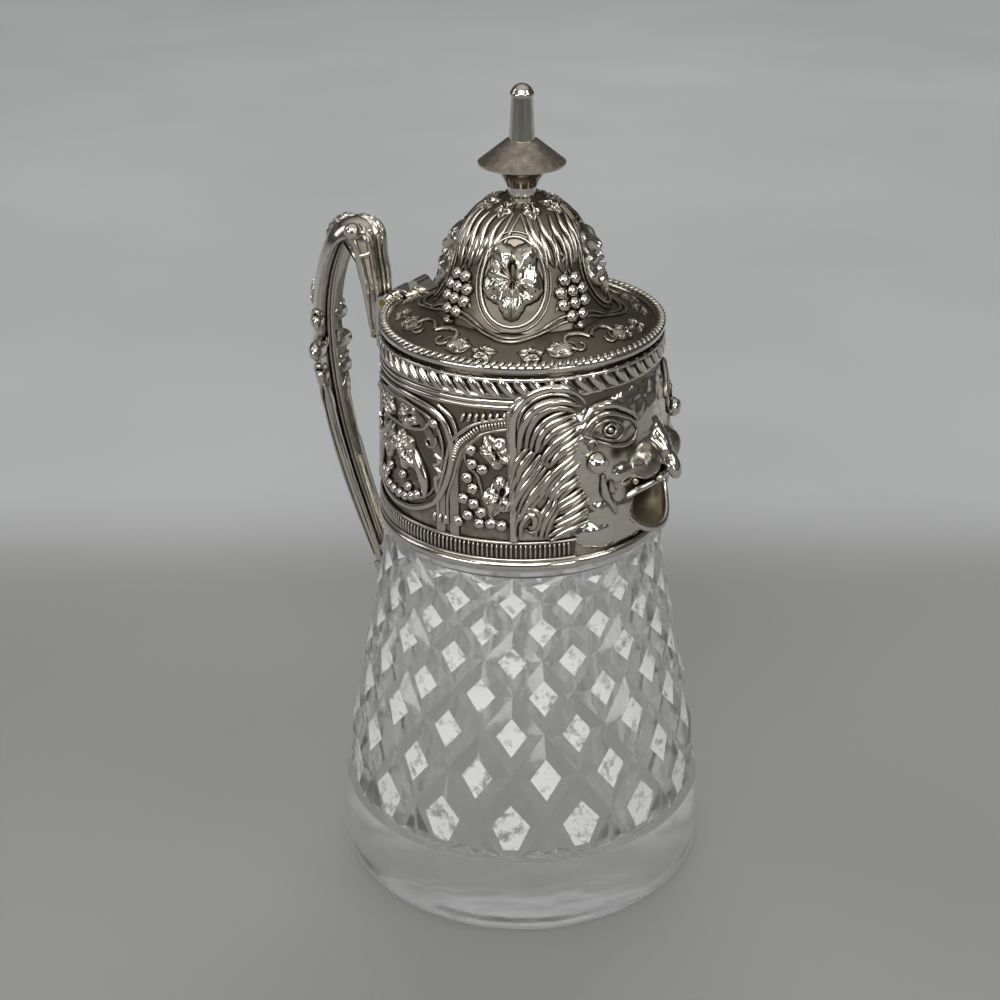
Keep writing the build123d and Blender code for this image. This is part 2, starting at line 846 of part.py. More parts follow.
def lid_skirt():
    """Locating ring under the lid that drops inside the collar's mouth."""
    outer = collar_r(collar_top_z) - sheet - solder - seat_width - skirt_gap
    inner = outer - skirt_wall
    low = lid_z - skirt_drop
    high = lid_z + flange_rise
    ring = turned_polygon([(inner, low), (outer, low), (outer, high), (inner, high)])
    return ring - lid_sheet()


def lid_sheet():
    """The lid's struck sheet before the crown is pierced, from the flat rim to the crown."""
    line = Wire(dome_profile())
    inner = inset_profile()
    crown_end = Line(line @ 1, inner[-1] @ 1)
    rim_end = Line(inner[0] @ 0, line @ 0)
    return turned(*line.edges(), crown_end, *inner, rim_end)


def lid_knuckle():
    """Middle knuckle of the hinge and the strap that carries it over the border to the flange."""
    over = lid_z + 2 * border_wire_r + solder
    top = over + strap_thick
    inner_edge = border_r - 2 * border_wire_r - strap_step
    reach = -(border_r - strap_reach)
    outline = Polyline(
        (hinge_x - knuckle_merge, 0, hinge_z + knuckle_r - knuckle_merge / 2),
        (hinge_x + knuckle_r - knuckle_merge, 0, top),
        (reach, 0, top + strap_end_rise),
        (reach, 0, lid_z + flange_rise),
        (-inner_edge, 0, lid_z + flange_rise),
        (-inner_edge, 0, over),
        (hinge_x + knuckle_r - knuckle_merge / 4, 0, over),
        (hinge_x + knuckle_r - knuckle_merge / 4, 0, hinge_z),
        (hinge_x, 0, hinge_z),
        close=True,
    )
    strap = extrude(make_face(outline), knuckle_half, both=True)
    strap += hinge_barrel(knuckle_r, -knuckle_half, knuckle_half)
    strap -= dome_core()
    return strap - hinge_barrel(pin_r + pin_play, -knuckle_half - overcut, knuckle_half + overcut)


def thumb_leaf():
    """Small curled leaf that stands on the hinge strap, its corners in multiples of the curl's radius."""
    base = lid_z + 2 * border_wire_r + solder + strap_thick
    x = -(border_r - curl_back)
    place = Pos(x, 0, base + curl_r + knuckle_merge) * Rot(90, 0, 0)
    curl = place * Cylinder(curl_r, 2 * knuckle_half)
    corners = [(x + curl_r * out, 0, base + curl_r * up) for out, up in thumb_corners]
    leaf = make_face(Polyline(*corners, close=True))
    leaf = extrude(leaf, knuckle_half * thumb_width_share, both=True)
    return curl + leaf - lid_knuckle() - dome_core()


def finial_ferrule():
    """Plain turned neck between the crown and the disc."""
    low = lid_z + dome_height
    neck = Cylinder(ferrule_r, ferrule_height, align=(Align.CENTER, Align.CENTER, Align.MIN))
    return Pos(0, 0, low) * neck - shank_hole()


def finial_disc():
    """Turned double-cone disc with a hollowed underside."""
    low = lid_z + dome_height + ferrule_height
    widest = low + disc_rise
    high = low + disc_height
    edges = [
        Line((0, 0, low), (disc_foot_r, 0, low)),
        ThreePointArc(
            (disc_foot_r, 0, low),
            (disc_foot_r + disc_hollow_out, 0, low + disc_rise * disc_hollow_share),
            (disc_r, 0, widest - disc_edge),
        ),
        Line((disc_r, 0, widest - disc_edge), (disc_r, 0, widest)),
        Line((disc_r, 0, widest), (disc_top_r, 0, high)),
        Line((disc_top_r, 0, high), (0, 0, high)),
        Line((0, 0, high), (0, 0, low)),
    ]
    return turned(*edges) - shank_hole()


def finial_spindle():
    """Tapered spindle with a bead near its domed tip, on a screwed shank."""
    low = lid_z + dome_height + ferrule_height + disc_height
    tip = low + spindle_height
    shoulder = tip - tip_rise
    bead = shoulder - bead_height
    cap_r = (spindle_top_r ** 2 + tip_rise ** 2) / (2 * tip_rise)
    lean = asin(spindle_top_r / cap_r) / 2
    foot = lid_z + dome_height - sheet - washer_height - nut_height - shank_past_nut
    bead_side = (spindle_top_r + bead_proud, 0, bead + bead_height / 2)
    dome_side = (cap_r * sin(lean), 0, tip - cap_r * (1 - cos(lean)))
    edges = [
        Line((0, 0, foot), (shank_r, 0, foot)),
        Line((shank_r, 0, foot), (shank_r, 0, low)),
        Line((shank_r, 0, low), (spindle_foot_r, 0, low)),
        Line((spindle_foot_r, 0, low), (spindle_top_r, 0, bead)),
        ThreePointArc((spindle_top_r, 0, bead), bead_side, (spindle_top_r, 0, shoulder)),
        ThreePointArc((spindle_top_r, 0, shoulder), dome_side, (0, 0, tip)),
        Line((0, 0, tip), (0, 0, foot)),
    ]
    return turned(*edges)


def finial_washer():
    """Washer under the crown that spreads the nut's pull."""
    high = lid_z + dome_height - sheet
    disc = Cylinder(washer_r, washer_height, align=(Align.CENTER, Align.CENTER, Align.MAX))
    return Pos(0, 0, high) * disc - shank_hole()


def finial_nut():
    """Hexagon nut on the shank inside the dome."""
    high = lid_z + dome_height - sheet - washer_height
    hexagon = RegularPolygon(nut_flats / 2, 6, major_radius=False)
    return Pos(0, 0, high - nut_height) * extrude(hexagon, nut_height) - shank_hole()


pieces = {
    "glass_body": glass_body,
    "cement_bed": cement_bed,
    "collar_sleeve": collar_sleeve,
    "seat_ring": seat_ring,
    "gadroon_band": gadroon_band,
    "upper_wire": upper_wire,
    "reeded_band": reeded_band,
    "foot_wire": foot_wire,
    "lion_mask": lion_mask,
    "handle_stem": handle_stem,
    "handle_leaf_node": handle_leaf_node,
    "handle_crook": handle_crook,
    "handle_ball": handle_ball,
    "handle_tang": handle_tang,
    "hinge_bracket": hinge_bracket,
    "hinge_pin": hinge_pin,
    "lid_cover": lid_cover,
    "rope_border": rope_border,
    "lid_skirt": lid_skirt,
    "lid_knuckle": lid_knuckle,
    "thumb_leaf": thumb_leaf,
    "finial_ferrule": finial_ferrule,
    "finial_disc": finial_disc,
    "finial_spindle": finial_spindle,
    "finial_washer": finial_washer,
    "finial_nut": finial_nut,
}

os.makedirs("parts", exist_ok=True)
for name, make in pieces.items():
    export_step(make(), "parts/" + name + ".step")
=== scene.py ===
import bmesh
import bpy
from math import atan2, cos, exp, hypot, pi, radians, sin
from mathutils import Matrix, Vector, noise


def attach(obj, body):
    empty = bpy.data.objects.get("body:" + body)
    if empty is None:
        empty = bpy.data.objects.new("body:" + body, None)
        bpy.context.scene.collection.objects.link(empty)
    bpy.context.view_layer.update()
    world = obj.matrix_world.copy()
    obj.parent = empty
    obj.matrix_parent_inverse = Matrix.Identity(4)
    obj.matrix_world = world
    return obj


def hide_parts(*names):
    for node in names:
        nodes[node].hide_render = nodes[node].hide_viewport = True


# A small table syrup pitcher: pressed glass body, silver plated collar with a lion mask spout,
# a leaf scroll handle and a hinged bell-domed lid with a turned finial. Metres, Z up.
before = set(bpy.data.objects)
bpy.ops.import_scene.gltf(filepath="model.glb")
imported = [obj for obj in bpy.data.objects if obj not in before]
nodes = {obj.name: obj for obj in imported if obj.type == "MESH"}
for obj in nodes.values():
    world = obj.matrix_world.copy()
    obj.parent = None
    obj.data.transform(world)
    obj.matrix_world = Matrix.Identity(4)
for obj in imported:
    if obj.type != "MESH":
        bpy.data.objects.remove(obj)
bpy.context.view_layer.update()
mm = 0.001

# Table and light. The pitcher stands on a plain grey cloth, painted a little darker near than far
# as painted shade of a fold behind it, under two large soft lamps and a smaller one, in a room
# that is dim at eye height.
cloth_near_shaded = "#7F7F7D"
cloth_far_lit = "#9B9C9C"
fold_shade_behind = 131 * mm
fold_shade_soft = 50 * mm
fold_shade_sharp = 20 * mm
view_turn = radians(30)
view_tilt = radians(25.7)
camera_reach = 337 * mm
camera_height = 244.8 * mm
lamp_aim = 90 * mm


def tint(code):
    """The linear colour of an sRGB hex value."""
    parts = [int(code[i:i + 2], 16) / 255 for i in (1, 3, 5)]
    return [c / 12.92 if c <= 0.04045 else ((c + 0.055) / 1.055) ** 2.4 for c in parts] + [1.0]


def add(owner, kind, output, inputs, stops=(), **settings):
    """Adds a node to a material or world, with its settings, what goes into its sockets and the
    (place, hex colour) stops of a ramp. Gives the output of that name."""
    tree = owner.node_tree
    node = tree.nodes.new("ShaderNode" + kind)
    for name, value in settings.items():
        setattr(node, name, value)
    for number, (place, code) in enumerate(stops):
        if number > 1:
            node.color_ramp.elements.new(place)
        node.color_ramp.elements[number].position = place
        node.color_ramp.elements[number].color = tint(code)
    for name, value in inputs.items():
        named = [socket for socket in node.inputs if socket.name == name and socket.enabled]
        socket = named[0] if named else node.inputs[name]
        if isinstance(value, bpy.types.NodeSocket):
            tree.links.new(value, socket)
        else:
            socket.default_value = value
    live = [socket for socket in node.outputs if socket.name == output and socket.enabled]
    return live[0] if live else None


def fresh_material(name):
    """An empty material and the place in the object that its textures use."""
    made = bpy.data.materials.new(name)
    made.use_nodes = True
    made.node_tree.nodes.clear()
    return made, add(made, "TexCoord", "Object", {})


def close_material(material, **sockets):
    """Gives the material its shader, with what goes into its sockets, and its output."""
    inputs = {name.replace("_", " "): value for name, value in sockets.items()}
    shader = add(material, "BsdfPrincipled", "BSDF", inputs)
    add(material, "OutputMaterial", None, {"Surface": shader})
    return material


# Plain cotton cloth, woven and washed: matt, with a faint mottling where it has been folded. It has
# painted light and shade of a fold behind the pitcher: lighter beyond the fold line, darker in
# front of it.
cotton_cloth, cloth_place = fresh_material("cotton_cloth_plain_woven")
cloth_way = (sin(view_turn), -cos(view_turn), 0)
cloth_axis = add(cotton_cloth, "VectorMath", "Value", {0: cloth_place, 1: cloth_way},
                 operation="DOT_PRODUCT")
# Painted shade: in front of the fold line the cloth turns to its darker near tone.
fold_shade_mask = add(cotton_cloth, "MapRange", "Result",
                 {"Value": cloth_axis, "From Min": -fold_shade_behind - fold_shade_soft,
                  "From Max": -fold_shade_behind + fold_shade_sharp}, interpolation_type="SMOOTHSTEP")
cloth_fold_shaded = add(cotton_cloth, "Mix", "Result",
                   {"Factor": fold_shade_mask, "A": tint(cloth_far_lit), "B": tint(cloth_near_shaded)},
                   data_type="RGBA")
cloth_mottle = add(cotton_cloth, "TexNoise", "Fac",
                   {"Vector": cloth_place, "Scale": 5.0, "Detail": 2.0})
cloth_shade = add(cotton_cloth, "MapRange", "Result",
                  {"Value": cloth_mottle, "From Min": 0.3, "From Max": 0.7, "To Min": 0.94,
                   "To Max": 1.06})
cloth_colour = add(cotton_cloth, "VectorMath", "Vector",
                   {0: cloth_fold_shaded, "Scale": cloth_shade}, operation="SCALE")
close_material(cotton_cloth, Base_Color=cloth_colour, Roughness=0.95, Specular_IOR_Level=0.1)

bpy.ops.mesh.primitive_plane_add(size=8, location=(0, 0, 0))
table_cloth = bpy.context.object
table_cloth.name = "table_cloth"
table_cloth.data.materials.append(cotton_cloth)

# The room by the height of a ray: one tone for plain light, one for what the metal mirrors, and
# one for what the camera and the glass look at directly.
room = bpy.data.worlds.new("room")
bpy.context.scene.world = room
room.use_nodes = True
room.node_tree.nodes.clear()
room_way = add(room, "TexCoord", "Generated", {})
room_height = add(room, "SeparateXYZ", "Z", {"Vector": room_way})
room_shade, room_mirrored, room_through = [
    add(room, "ValToRGB", "Color", {"Fac": room_height}, stops) for stops in (
        [(0.0, "#4A4A4A"), (0.25, "#5A5A5A"), (0.6, "#B4B4B4"), (1.0, "#C8C8C8")],
        [(0.0, "#3C3B3A"), (0.3, "#5C5A58"), (0.5, "#2C2B2A"), (0.72, "#96948F"),
         (0.92, "#BDBBB8")],
        [(0.0, "#949594"), (0.5, cloth_far_lit), (0.9, "#B4B4B4")])]
ray_glossy, ray_through, ray_camera = [
    add(room, "LightPath", f"Is {kind} Ray", {})
    for kind in ("Glossy", "Transmission", "Camera")]
ray_direct = add(room, "Math", "Value", {0: ray_through, 1: ray_camera},
                 operation="MAXIMUM")
room_indirect = add(room, "Mix", "Result",
                    {"Factor": ray_glossy, "A": room_shade, "B": room_mirrored}, data_type="RGBA")
room_seen = add(room, "Mix", "Result",
                {"Factor": ray_direct, "A": room_indirect, "B": room_through}, data_type="RGBA")
room_light = add(room, "Background", "Background", {"Color": room_seen, "Strength": 1.0})
add(room, "OutputWorld", None, {"Surface": room_light})


def lamp(name, azimuth, height, reach, width, watts):
    """A soft square lamp, at an azimuth about the pitcher and a height angle, that faces it."""
    light = bpy.data.lights.new(name, "AREA")
    light.shape = "RECTANGLE"
    light.size = width[0]
    light.size_y = width[1]
    light.energy = watts
    made = bpy.data.objects.new(name, light)
    bpy.context.scene.collection.objects.link(made)
    turn = radians(azimuth)
    rise = radians(height)
    way = Vector((sin(turn) * cos(rise), -cos(turn) * cos(rise), sin(rise)))
    made.location = Vector((0, 0, lamp_aim)) + way * reach
    made.rotation_euler = way.to_track_quat("Z", "Y").to_euler()
    made.visible_transmission = False
    return made


lamp("window", 22, 44, 0.9, (0.75, 0.4), 4.7)
lamp("window_side", -70, 30, 0.9, (0.25, 0.5), 0.5)
lamp("window_right", 92, 34, 0.9, (0.3, 0.4), 1.2)
lamp("window_low", -18, 13, 0.9, (0.5, 0.2), 1.3)
lamp("window_low_right", 62, 13, 0.9, (0.22, 0.25), 0.7)
lamp("skylight", 205, 50, 1.5, (1.1, 0.8), 13.0).visible_glossy = False

camera = bpy.data.objects.new("camera", bpy.data.cameras.new("camera"))
bpy.context.scene.collection.objects.link(camera)
camera.location = (camera_reach * sin(view_turn), -camera_reach * cos(view_turn), camera_height)
camera.rotation_euler = (pi / 2 - view_tilt, 0, view_turn)
camera.data.lens = 64.08
camera.data.sensor_width = 36
camera.data.shift_x = -0.022
camera.data.clip_start = 0.01
bpy.context.scene.camera = camera
bpy.context.scene.view_settings.view_transform = "Standard"

# Glass body. One piece of clear soda glass, pressed in a mould and fire polished: flat-topped
# pyramids between slanted V grooves, a plain thick foot, and a neck that the collar covers.
belly_r = 40.0 * mm
throat_r = 29.0 * mm
flare_start = 4.0 * mm
flare_rise = 88.0 * mm
diamond_columns = 16
diamond_turn = radians(4)
diamond_top = 78.9 * mm
diamond_step = 5.2 * mm
diamond_growth = 1.12
diamond_rows = 8
diamond_foot = 19.0 * mm
groove_depth = 1.5 * mm
table_inset = 0.25
table_rise = 0.13
glass_wall = 4.5 * mm
foot_rings = ((18.3, 39.2), (14.0, 39.7), (8.0, 39.95), (2.6, 39.9), (0.5, 38.4), (0.0, 36.5),
              (0.0, 32.5), (0.6, 31.0), (0.7, 16.0))
top_rings = ((79.9, 29.3), (80.7, 29.2), (81.0, 28.6), (81.0, 26.6), (81.4, 26.3), (85.4, 26.3),
             (86.0, 25.5), (86.0, 24.2), (85.3, 23.3), (81.0, 23.4))
inside_heights = (76, 68, 59, 50, 41, 32, 24)
floor_rings = ((18.0, 33.9), (15.2, 31.6), (14.0, 27.5), (14.0, 14.0))


def glass_r(z):
    """The glass's outer radius at a height."""
    rise = min(max(z - flare_start, 0), flare_rise)
    return throat_r + (belly_r - throat_r) * (1 + cos(pi * rise / flare_rise)) / 2


def choose(test, part="verts"):
    """In edit mode, selects the vertices, edges or faces that pass the test, and nothing else."""
    mesh = bmesh.from_edit_mesh(bpy.context.object.data)
    bpy.context.tool_settings.mesh_select_mode = (part == "verts", part == "edges", part == "faces")
    mesh.select_mode = {{"verts": "VERT", "edges": "EDGE", "faces": "FACE"}[part]}
    for kind in (mesh.faces, mesh.edges, mesh.verts):
        for item in kind:
            item.select = False
    for item in getattr(mesh, part):
        if test(item):
            item.select_set(True)
    mesh.select_flush_mode()
    bmesh.update_edit_mesh(bpy.context.object.data)


def ring_out(height, radius):
    """Extrudes the selected ring to a height and rounds it to a radius about the jug's axis."""
    mesh = bmesh.from_edit_mesh(bpy.context.object.data)
    picked = [v.co for v in mesh.verts if v.select]
    old_height = sum(p.z for p in picked) / len(picked)
    old_radius = sum(hypot(p.x, p.y) for p in picked) / len(picked)
    bpy.ops.mesh.extrude_edges_move(TRANSFORM_OT_translate={"value": (0, 0, height - old_height)})
    share = radius / old_radius
    bpy.ops.transform.resize(value=(share, share, 1), center_override=(0, 0, height))


def finish_modifier(piece, kind, **settings):
    """Adds a modifier with its settings and applies it."""
    made = piece.modifiers.new(kind.lower(), kind)
    for name, value in settings.items():
        setattr(made, name, value)
    bpy.context.view_layer.objects.active = piece
    bpy.ops.object.modifier_apply(modifier=made.name)


def start(name):
    """Names the new primitive and opens it in edit mode with its place in its mesh."""
    piece = bpy.context.object
    piece.name = name
    bpy.ops.object.transform_apply(location=True, rotation=True, scale=True)
    bpy.ops.object.mode_set(mode="EDIT")
    return piece


crossings = [diamond_top]
for row in range(diamond_rows):
    crossings.append(crossings[-1] - diamond_step * diamond_growth ** row)
half_turn = pi / diamond_columns


def lattice_place(co):
    """The row of a lattice point and its column in half diamonds."""
    row = min(range(len(crossings)), key=lambda k: abs(crossings[k] - co.z))
    return row, round((atan2(co.y, co.x) - diamond_turn) / half_turn)


bpy.ops.mesh.primitive_circle_add(vertices=2 * diamond_columns,
                                  radius=glass_r(diamond_top) - groove_depth,
                                  location=(0, 0, diamond_top), rotation=(0, 0, diamond_turn))
glass = start("glass_body_pressed")
for height in crossings[1:]:
    ring_out(height, glass_r(height) - groove_depth)
choose(lambda v: sum(lattice_place(v.co)) % 2 == 0)
bpy.ops.mesh.vert_connect()
choose(lambda v: sum(lattice_place(v.co)) % 2 and 0 < lattice_place(v.co)[0] < diamond_rows)
bpy.ops.mesh.dissolve_verts()
choose(lambda e: sorted(lattice_place(v.co)[0] for v in e.verts) == [0, 1]
       and lattice_place(e.verts[0].co)[1] == lattice_place(e.verts[1].co)[1], "edges")
bpy.ops.mesh.dissolve_edges(use_verts=False)
bpy.ops.mesh.select_all(action="SELECT")
bpy.ops.mesh.bisect(plane_co=(0, 0, diamond_foot), plane_no=(0, 0, 1), clear_inner=True)
bpy.ops.mesh.select_all(action="SELECT")
bpy.ops.mesh.normals_make_consistent(inside=False)
choose(lambda f: True, "faces")
bpy.ops.mesh.inset(thickness=table_inset, depth=table_rise, use_individual=True,
                   use_relative_offset=True)
glass_faces = bmesh.from_edit_mesh(glass.data).faces
table_layer = glass_faces.layers.float.new("table")
for face in glass_faces:
    face[table_layer] = float(face.select)
choose(lambda e: e.is_boundary and e.verts[0].co.z < diamond_foot + 1e-4, "edges")
for height, radius in foot_rings:
    ring_out(height * mm, radius * mm)
bpy.ops.mesh.extrude_edges_move()
bpy.ops.mesh.merge(type="CENTER")
choose(lambda e: e.is_boundary, "edges")
for height, radius in top_rings:
    ring_out(height * mm, radius * mm)
for height in inside_heights:
    ring_out(height * mm, glass_r(height * mm) - glass_wall)
for height, radius in floor_rings:
    ring_out(height * mm, radius * mm)
bpy.ops.mesh.extrude_edges_move()
bpy.ops.mesh.merge(type="CENTER")
bpy.ops.mesh.select_all(action="SELECT")
bpy.ops.mesh.normals_make_consistent(inside=False)
bpy.ops.object.mode_set(mode="OBJECT")
finish_modifier(glass, "BEVEL", width=0.3 * mm, segments=2, limit_method="ANGLE",
                angle_limit=radians(14), material=1)
finish_modifier(glass, "SUBSURF", levels=2, render_levels=2)
bpy.ops.object.shade_smooth()

# Pressed soda glass, fire polished: clear and faintly grey under a glossy skin, with a soft
# waviness that the mould leaves. The flat tables are painted white in spots, a painted highlight
# for the light they catch, and the fine edges are painted milkier, a painted highlight along them.
# Rays from the lamps pass through, so it casts a light shadow.


def soda_glass(name, clear, highlight_clearness, rough):
    """Pressed glass of a clearness, which falls to another in spots of painted highlight on the
    tables.
    """
    made, place = fresh_material(name)
    wave = add(made, "TexNoise", "Fac", {"Vector": place, "Scale": 170.0, "Detail": 2.0})
    highlight_noise = add(made, "TexNoise", "Fac",
                {"Vector": place, "Scale": 330.0, "Detail": 3.0, "Roughness": 0.65})
    highlight_spots = add(made, "MapRange", "Result",
                {"Value": highlight_noise, "From Min": 0.33, "From Max": 0.5})
    table = add(made, "Attribute", "Fac", {}, attribute_name="table")
    # Painted highlight: milky white spots on the tables, where the glass is made less clear.
    table_highlights = add(made, "Math", "Value", {0: highlight_spots, 1: table}, operation="MULTIPLY")
    clearness = add(made, "MapRange", "Result",
                    {"Value": table_highlights, "To Min": clear, "To Max": highlight_clearness})
    sheen = add(made, "MapRange", "Result",
                {"Value": wave, "From Min": 0.35, "From Max": 0.75, "To Min": rough,
                 "To Max": rough + 0.05})
    bump = add(made, "Bump", "Normal",
               {"Height": wave, "Strength": 0.28, "Distance": 0.6 * mm})
    glossy = add(made, "BsdfPrincipled", "BSDF",
                 {"Base Color": tint("#FBFBFB"), "Roughness": sheen,
                  "Transmission Weight": clearness, "IOR": 1.45, "Coat Weight": 0.4,
                  "Coat Roughness": 0.03, "Normal": bump})
    unseen = add(made, "BsdfTransparent", "BSDF", {"Color": tint("#ECECEB")})
    lamp_rays = add(made, "LightPath", "Is Shadow Ray", {})
    mix = add(made, "MixShader", "Shader", {0: lamp_rays, 1: glossy, 2: unseen})
    add(made, "OutputMaterial", None, {"Surface": mix})
    return made


glass.data.materials.append(soda_glass("soda_glass_pressed_fire_polished", 0.98, 0.35, 0.1))
# Painted highlight along the fine edges: the bevels are made milkier than the rest of the glass.
glass.data.materials.append(soda_glass("soda_glass_pressed_edges", 0.66, 0.6, 0.16))
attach(glass, "jug")
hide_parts("glass_body")

# Silver plate on brass, rolled and cast, worked over and polished. The plate has a warm grey
# shine, fine scratches from cleaning, and a duller, browner tone where the cloth misses it.
silver_polished, polished_place = fresh_material("silver_plate_polished")
polished_wear = add(silver_polished, "TexNoise", "Fac",
                    {"Vector": polished_place, "Scale": 260.0, "Detail": 4.0})
polished_colour = add(silver_polished, "ValToRGB", "Color", {"Fac": polished_wear},
                      [(0.0, "#B5AFA4"), (0.45, "#D9D4CB"), (1.0, "#E6E2DA")])
polished_rough = add(silver_polished, "MapRange", "Result",
                     {"Value": polished_wear, "From Min": 0.3, "From Max": 0.7, "To Min": 0.16,
                      "To Max": 0.07})
polished_bump = add(silver_polished, "Bump", "Normal",
                    {"Height": polished_wear, "Strength": 0.12, "Distance": 0.2 * mm})
close_material(silver_polished, Base_Color=polished_colour, Metallic=1.0, Roughness=polished_rough,
               Normal=polished_bump)
for name, node in nodes.items():
    node.data.materials.clear()
    node.data.materials.append(silver_polished)


def oxidised(name, hollow_r, high_r, hollow="#3B352D"):
    """Silver plate with a brown sulphide tone left in the hollows. With radii, a hollow is what
    lies near the first of them from the jug's axis. Without, it is read from the piece's height
    mark, which on the lion's face also holds spots of painted shade."""
    made, place = fresh_material(name)
    if high_r:
        level = add(made, "VectorMath", "Vector", {0: place, 1: (1, 1, 0)},
                    operation="MULTIPLY")
        reach = add(made, "VectorMath", "Value", {0: level}, operation="LENGTH")
        height = add(made, "MapRange", "Result",
                     {"Value": reach, "From Min": hollow_r, "From Max": high_r})
    else:
        height = add(made, "Attribute", "Fac", {}, attribute_name="height")
    tarnish = add(made, "TexNoise", "Fac",
                  {"Vector": place, "Scale": 420.0, "Detail": 3.0})
    worn = add(made, "Math", "Value", {0: tarnish, 1: 0.5, 2: -0.25},
               operation="MULTIPLY_ADD")
    open_sky = add(made, "AmbientOcclusion", "AO", {"Distance": 1.4 * mm}, samples=4)
    rubbed = add(made, "MapRange", "Result",
                 {"Value": open_sky, "From Min": 0.35, "From Max": 0.85})
    raised = add(made, "Math", "Value", {0: height, 1: worn}, operation="ADD")
    bright = add(made, "Math", "Value", {0: raised, 1: rubbed}, operation="MULTIPLY")
    colour = add(made, "ValToRGB", "Color", {"Fac": bright},
                 [(0.0, hollow), (0.3, "#7D766A"), (0.6, "#C9C3B8"), (1.0, "#E4DFD6")])
    rough = add(made, "MapRange", "Result",
                {"Value": bright, "To Min": 0.38, "To Max": 0.12})
    bump = add(made, "Bump", "Normal",
               {"Height": tarnish, "Strength": 0.3, "Distance": 0.25 * mm})
    return close_material(made, Base_Color=colour, Metallic=1.0, Roughness=rough, Normal=bump)


# Relief of the collar. Vine leaves, grapes and tendrils under an arcade of beaded arches, chased
# into the sheet. Each form is made flat once, in millimetres, then laid round the collar.
collar_foot = 81.2
collar_top = 121.3
collar_foot_r = 28.9
collar_top_r = 27.8


def on_collar(angle, across, up, out):
    """The place on the collar for a flat point of the relief, from an angle about the axis."""
    share = (up - collar_foot) / (collar_top - collar_foot)
    radius = collar_foot_r + (collar_top_r - collar_foot_r) * share
    turn = angle + across / radius
    return Vector(((radius + out) * cos(turn), (radius + out) * sin(turn), up)) * mm


def lay(pieces, form, surface, angle, across, up, turn=0.0, size=1.0, flip=1, lift=0.0, full=0.9):
    """Copies a flat form, turns it, lays it on a surface and adds it to the pieces. Its height
    above the sheet is kept for the tarnish."""
    piece = form.copy()
    piece.data = form.data.copy()
    bpy.context.scene.collection.objects.link(piece)
    marks = piece.data.attributes
    level = marks.get("height") or marks.new("height", "FLOAT", "POINT")
    for vertex, mark in zip(piece.data.vertices, level.data):
        x = vertex.co.x * size * flip
        y = vertex.co.y * size
        out = vertex.co.z * size + lift
        mark.value = out / full
        vertex.co = surface(angle, across * flip + x * cos(turn * flip) - y * sin(turn * flip),
                            up + x * sin(turn * flip) + y * cos(turn * flip), out)
    if flip < 0:
        piece.data.flip_normals()
    pieces.append(piece)


def gather(pieces, name, material, body):
    """Joins laid pieces into one, with its material, on its body."""
    bpy.ops.object.select_all(action="DESELECT")
    for piece in pieces:
        piece.select_set(True)
    bpy.context.view_layer.objects.active = pieces[0]
    bpy.ops.object.join()
    whole = bpy.context.object
    whole.name = name
    bpy.ops.object.transform_apply(location=True, rotation=True, scale=True)
    bpy.ops.object.shade_smooth()
    whole.data.materials.clear()
    whole.data.materials.append(material)
    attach(whole, body)
    return whole


def wire(name, points, radius, swell=None, sides=2, flat=1.0):
    """A flat wire or hair strand through points, of a radius that may swell along it."""
    line = bpy.data.curves.new(name, "CURVE")
    line.dimensions = "3D"
    line.bevel_depth = radius
    line.bevel_resolution = sides
    line.use_fill_caps = True
    spline = line.splines.new("POLY")
    spline.points.add(len(points) - 1)
    for number, (point, place) in enumerate(zip(spline.points, points)):
        point.co = (place[0], place[1], 0, 1)
        point.radius = swell(number / (len(points) - 1)) if swell else 1.0
    made = bpy.data.objects.new(name, line)
    mesh = bpy.data.meshes.new_from_object(made)
    bpy.data.objects.remove(made)
    piece = bpy.data.objects.new(name, mesh)
    for vertex in mesh.vertices:
        vertex.co.z *= flat
    return piece


def smooth_line(points, steps=5):
    """A finer line through points, rounded at each of them."""
    ends = [points[0]] + list(points) + [points[-1]]
    fine = []
    for a, b, c, d in zip(ends, ends[1:], ends[2:], ends[3:]):
        for step in range(steps):
            t = step / steps
            fine.append([(2 * q + (r - p) * t + (2 * p - 5 * q + 4 * r - s) * t * t
                          + (3 * q - p - 3 * r + s) * t ** 3) / 2
                         for p, q, r, s in zip(a, b, c, d)])
    return fine + [list(points[-1])]


bpy.ops.mesh.primitive_circle_add(vertices=50, radius=1.0)
leaf_form = start("vine_leaf")
for number in range(8, 0, -1):
    bpy.ops.mesh.extrude_edges_move()
    bpy.ops.transform.resize(value=(number / (number + 1),) * 3)
bpy.ops.mesh.extrude_edges_move()
bpy.ops.mesh.merge(type="CENTER")
bpy.ops.mesh.select_all(action="SELECT")
bpy.ops.mesh.normals_make_consistent(inside=False)
bpy.ops.object.mode_set(mode="OBJECT")
leaf_lobes = 5
leaf_r = 3.6
leaf_long = 1.3
for vertex in leaf_form.data.vertices:
    way = atan2(vertex.co.x, vertex.co.y)
    reach = hypot(vertex.co.x, vertex.co.y)
    lobe = cos(way * leaf_lobes / 2) ** 2
    radius = leaf_r * (0.76 + 0.24 * lobe ** 0.7 + 0.04 * cos(way * 25) * reach)
    fold = 0.8 + 0.2 * cos(way * 2 * leaf_lobes)
    vein = 1 - 0.95 * exp(-(vertex.co.x / 0.09) ** 2)
    crinkle = 0.75 * noise.noise(Vector((vertex.co.x * 5.2, vertex.co.y * 4.4, 0.4)))
    dome = (1 - reach ** 4) ** 0.7 if reach < 0.99 else 0.0
    vertex.co = (vertex.co.x * radius, vertex.co.y * radius * leaf_long,
                 dome * (0.95 * fold * vein + crinkle) + 0.15 * (reach < 0.99) - 0.1)
finish_modifier(leaf_form, "SUBSURF", levels=1, render_levels=1)

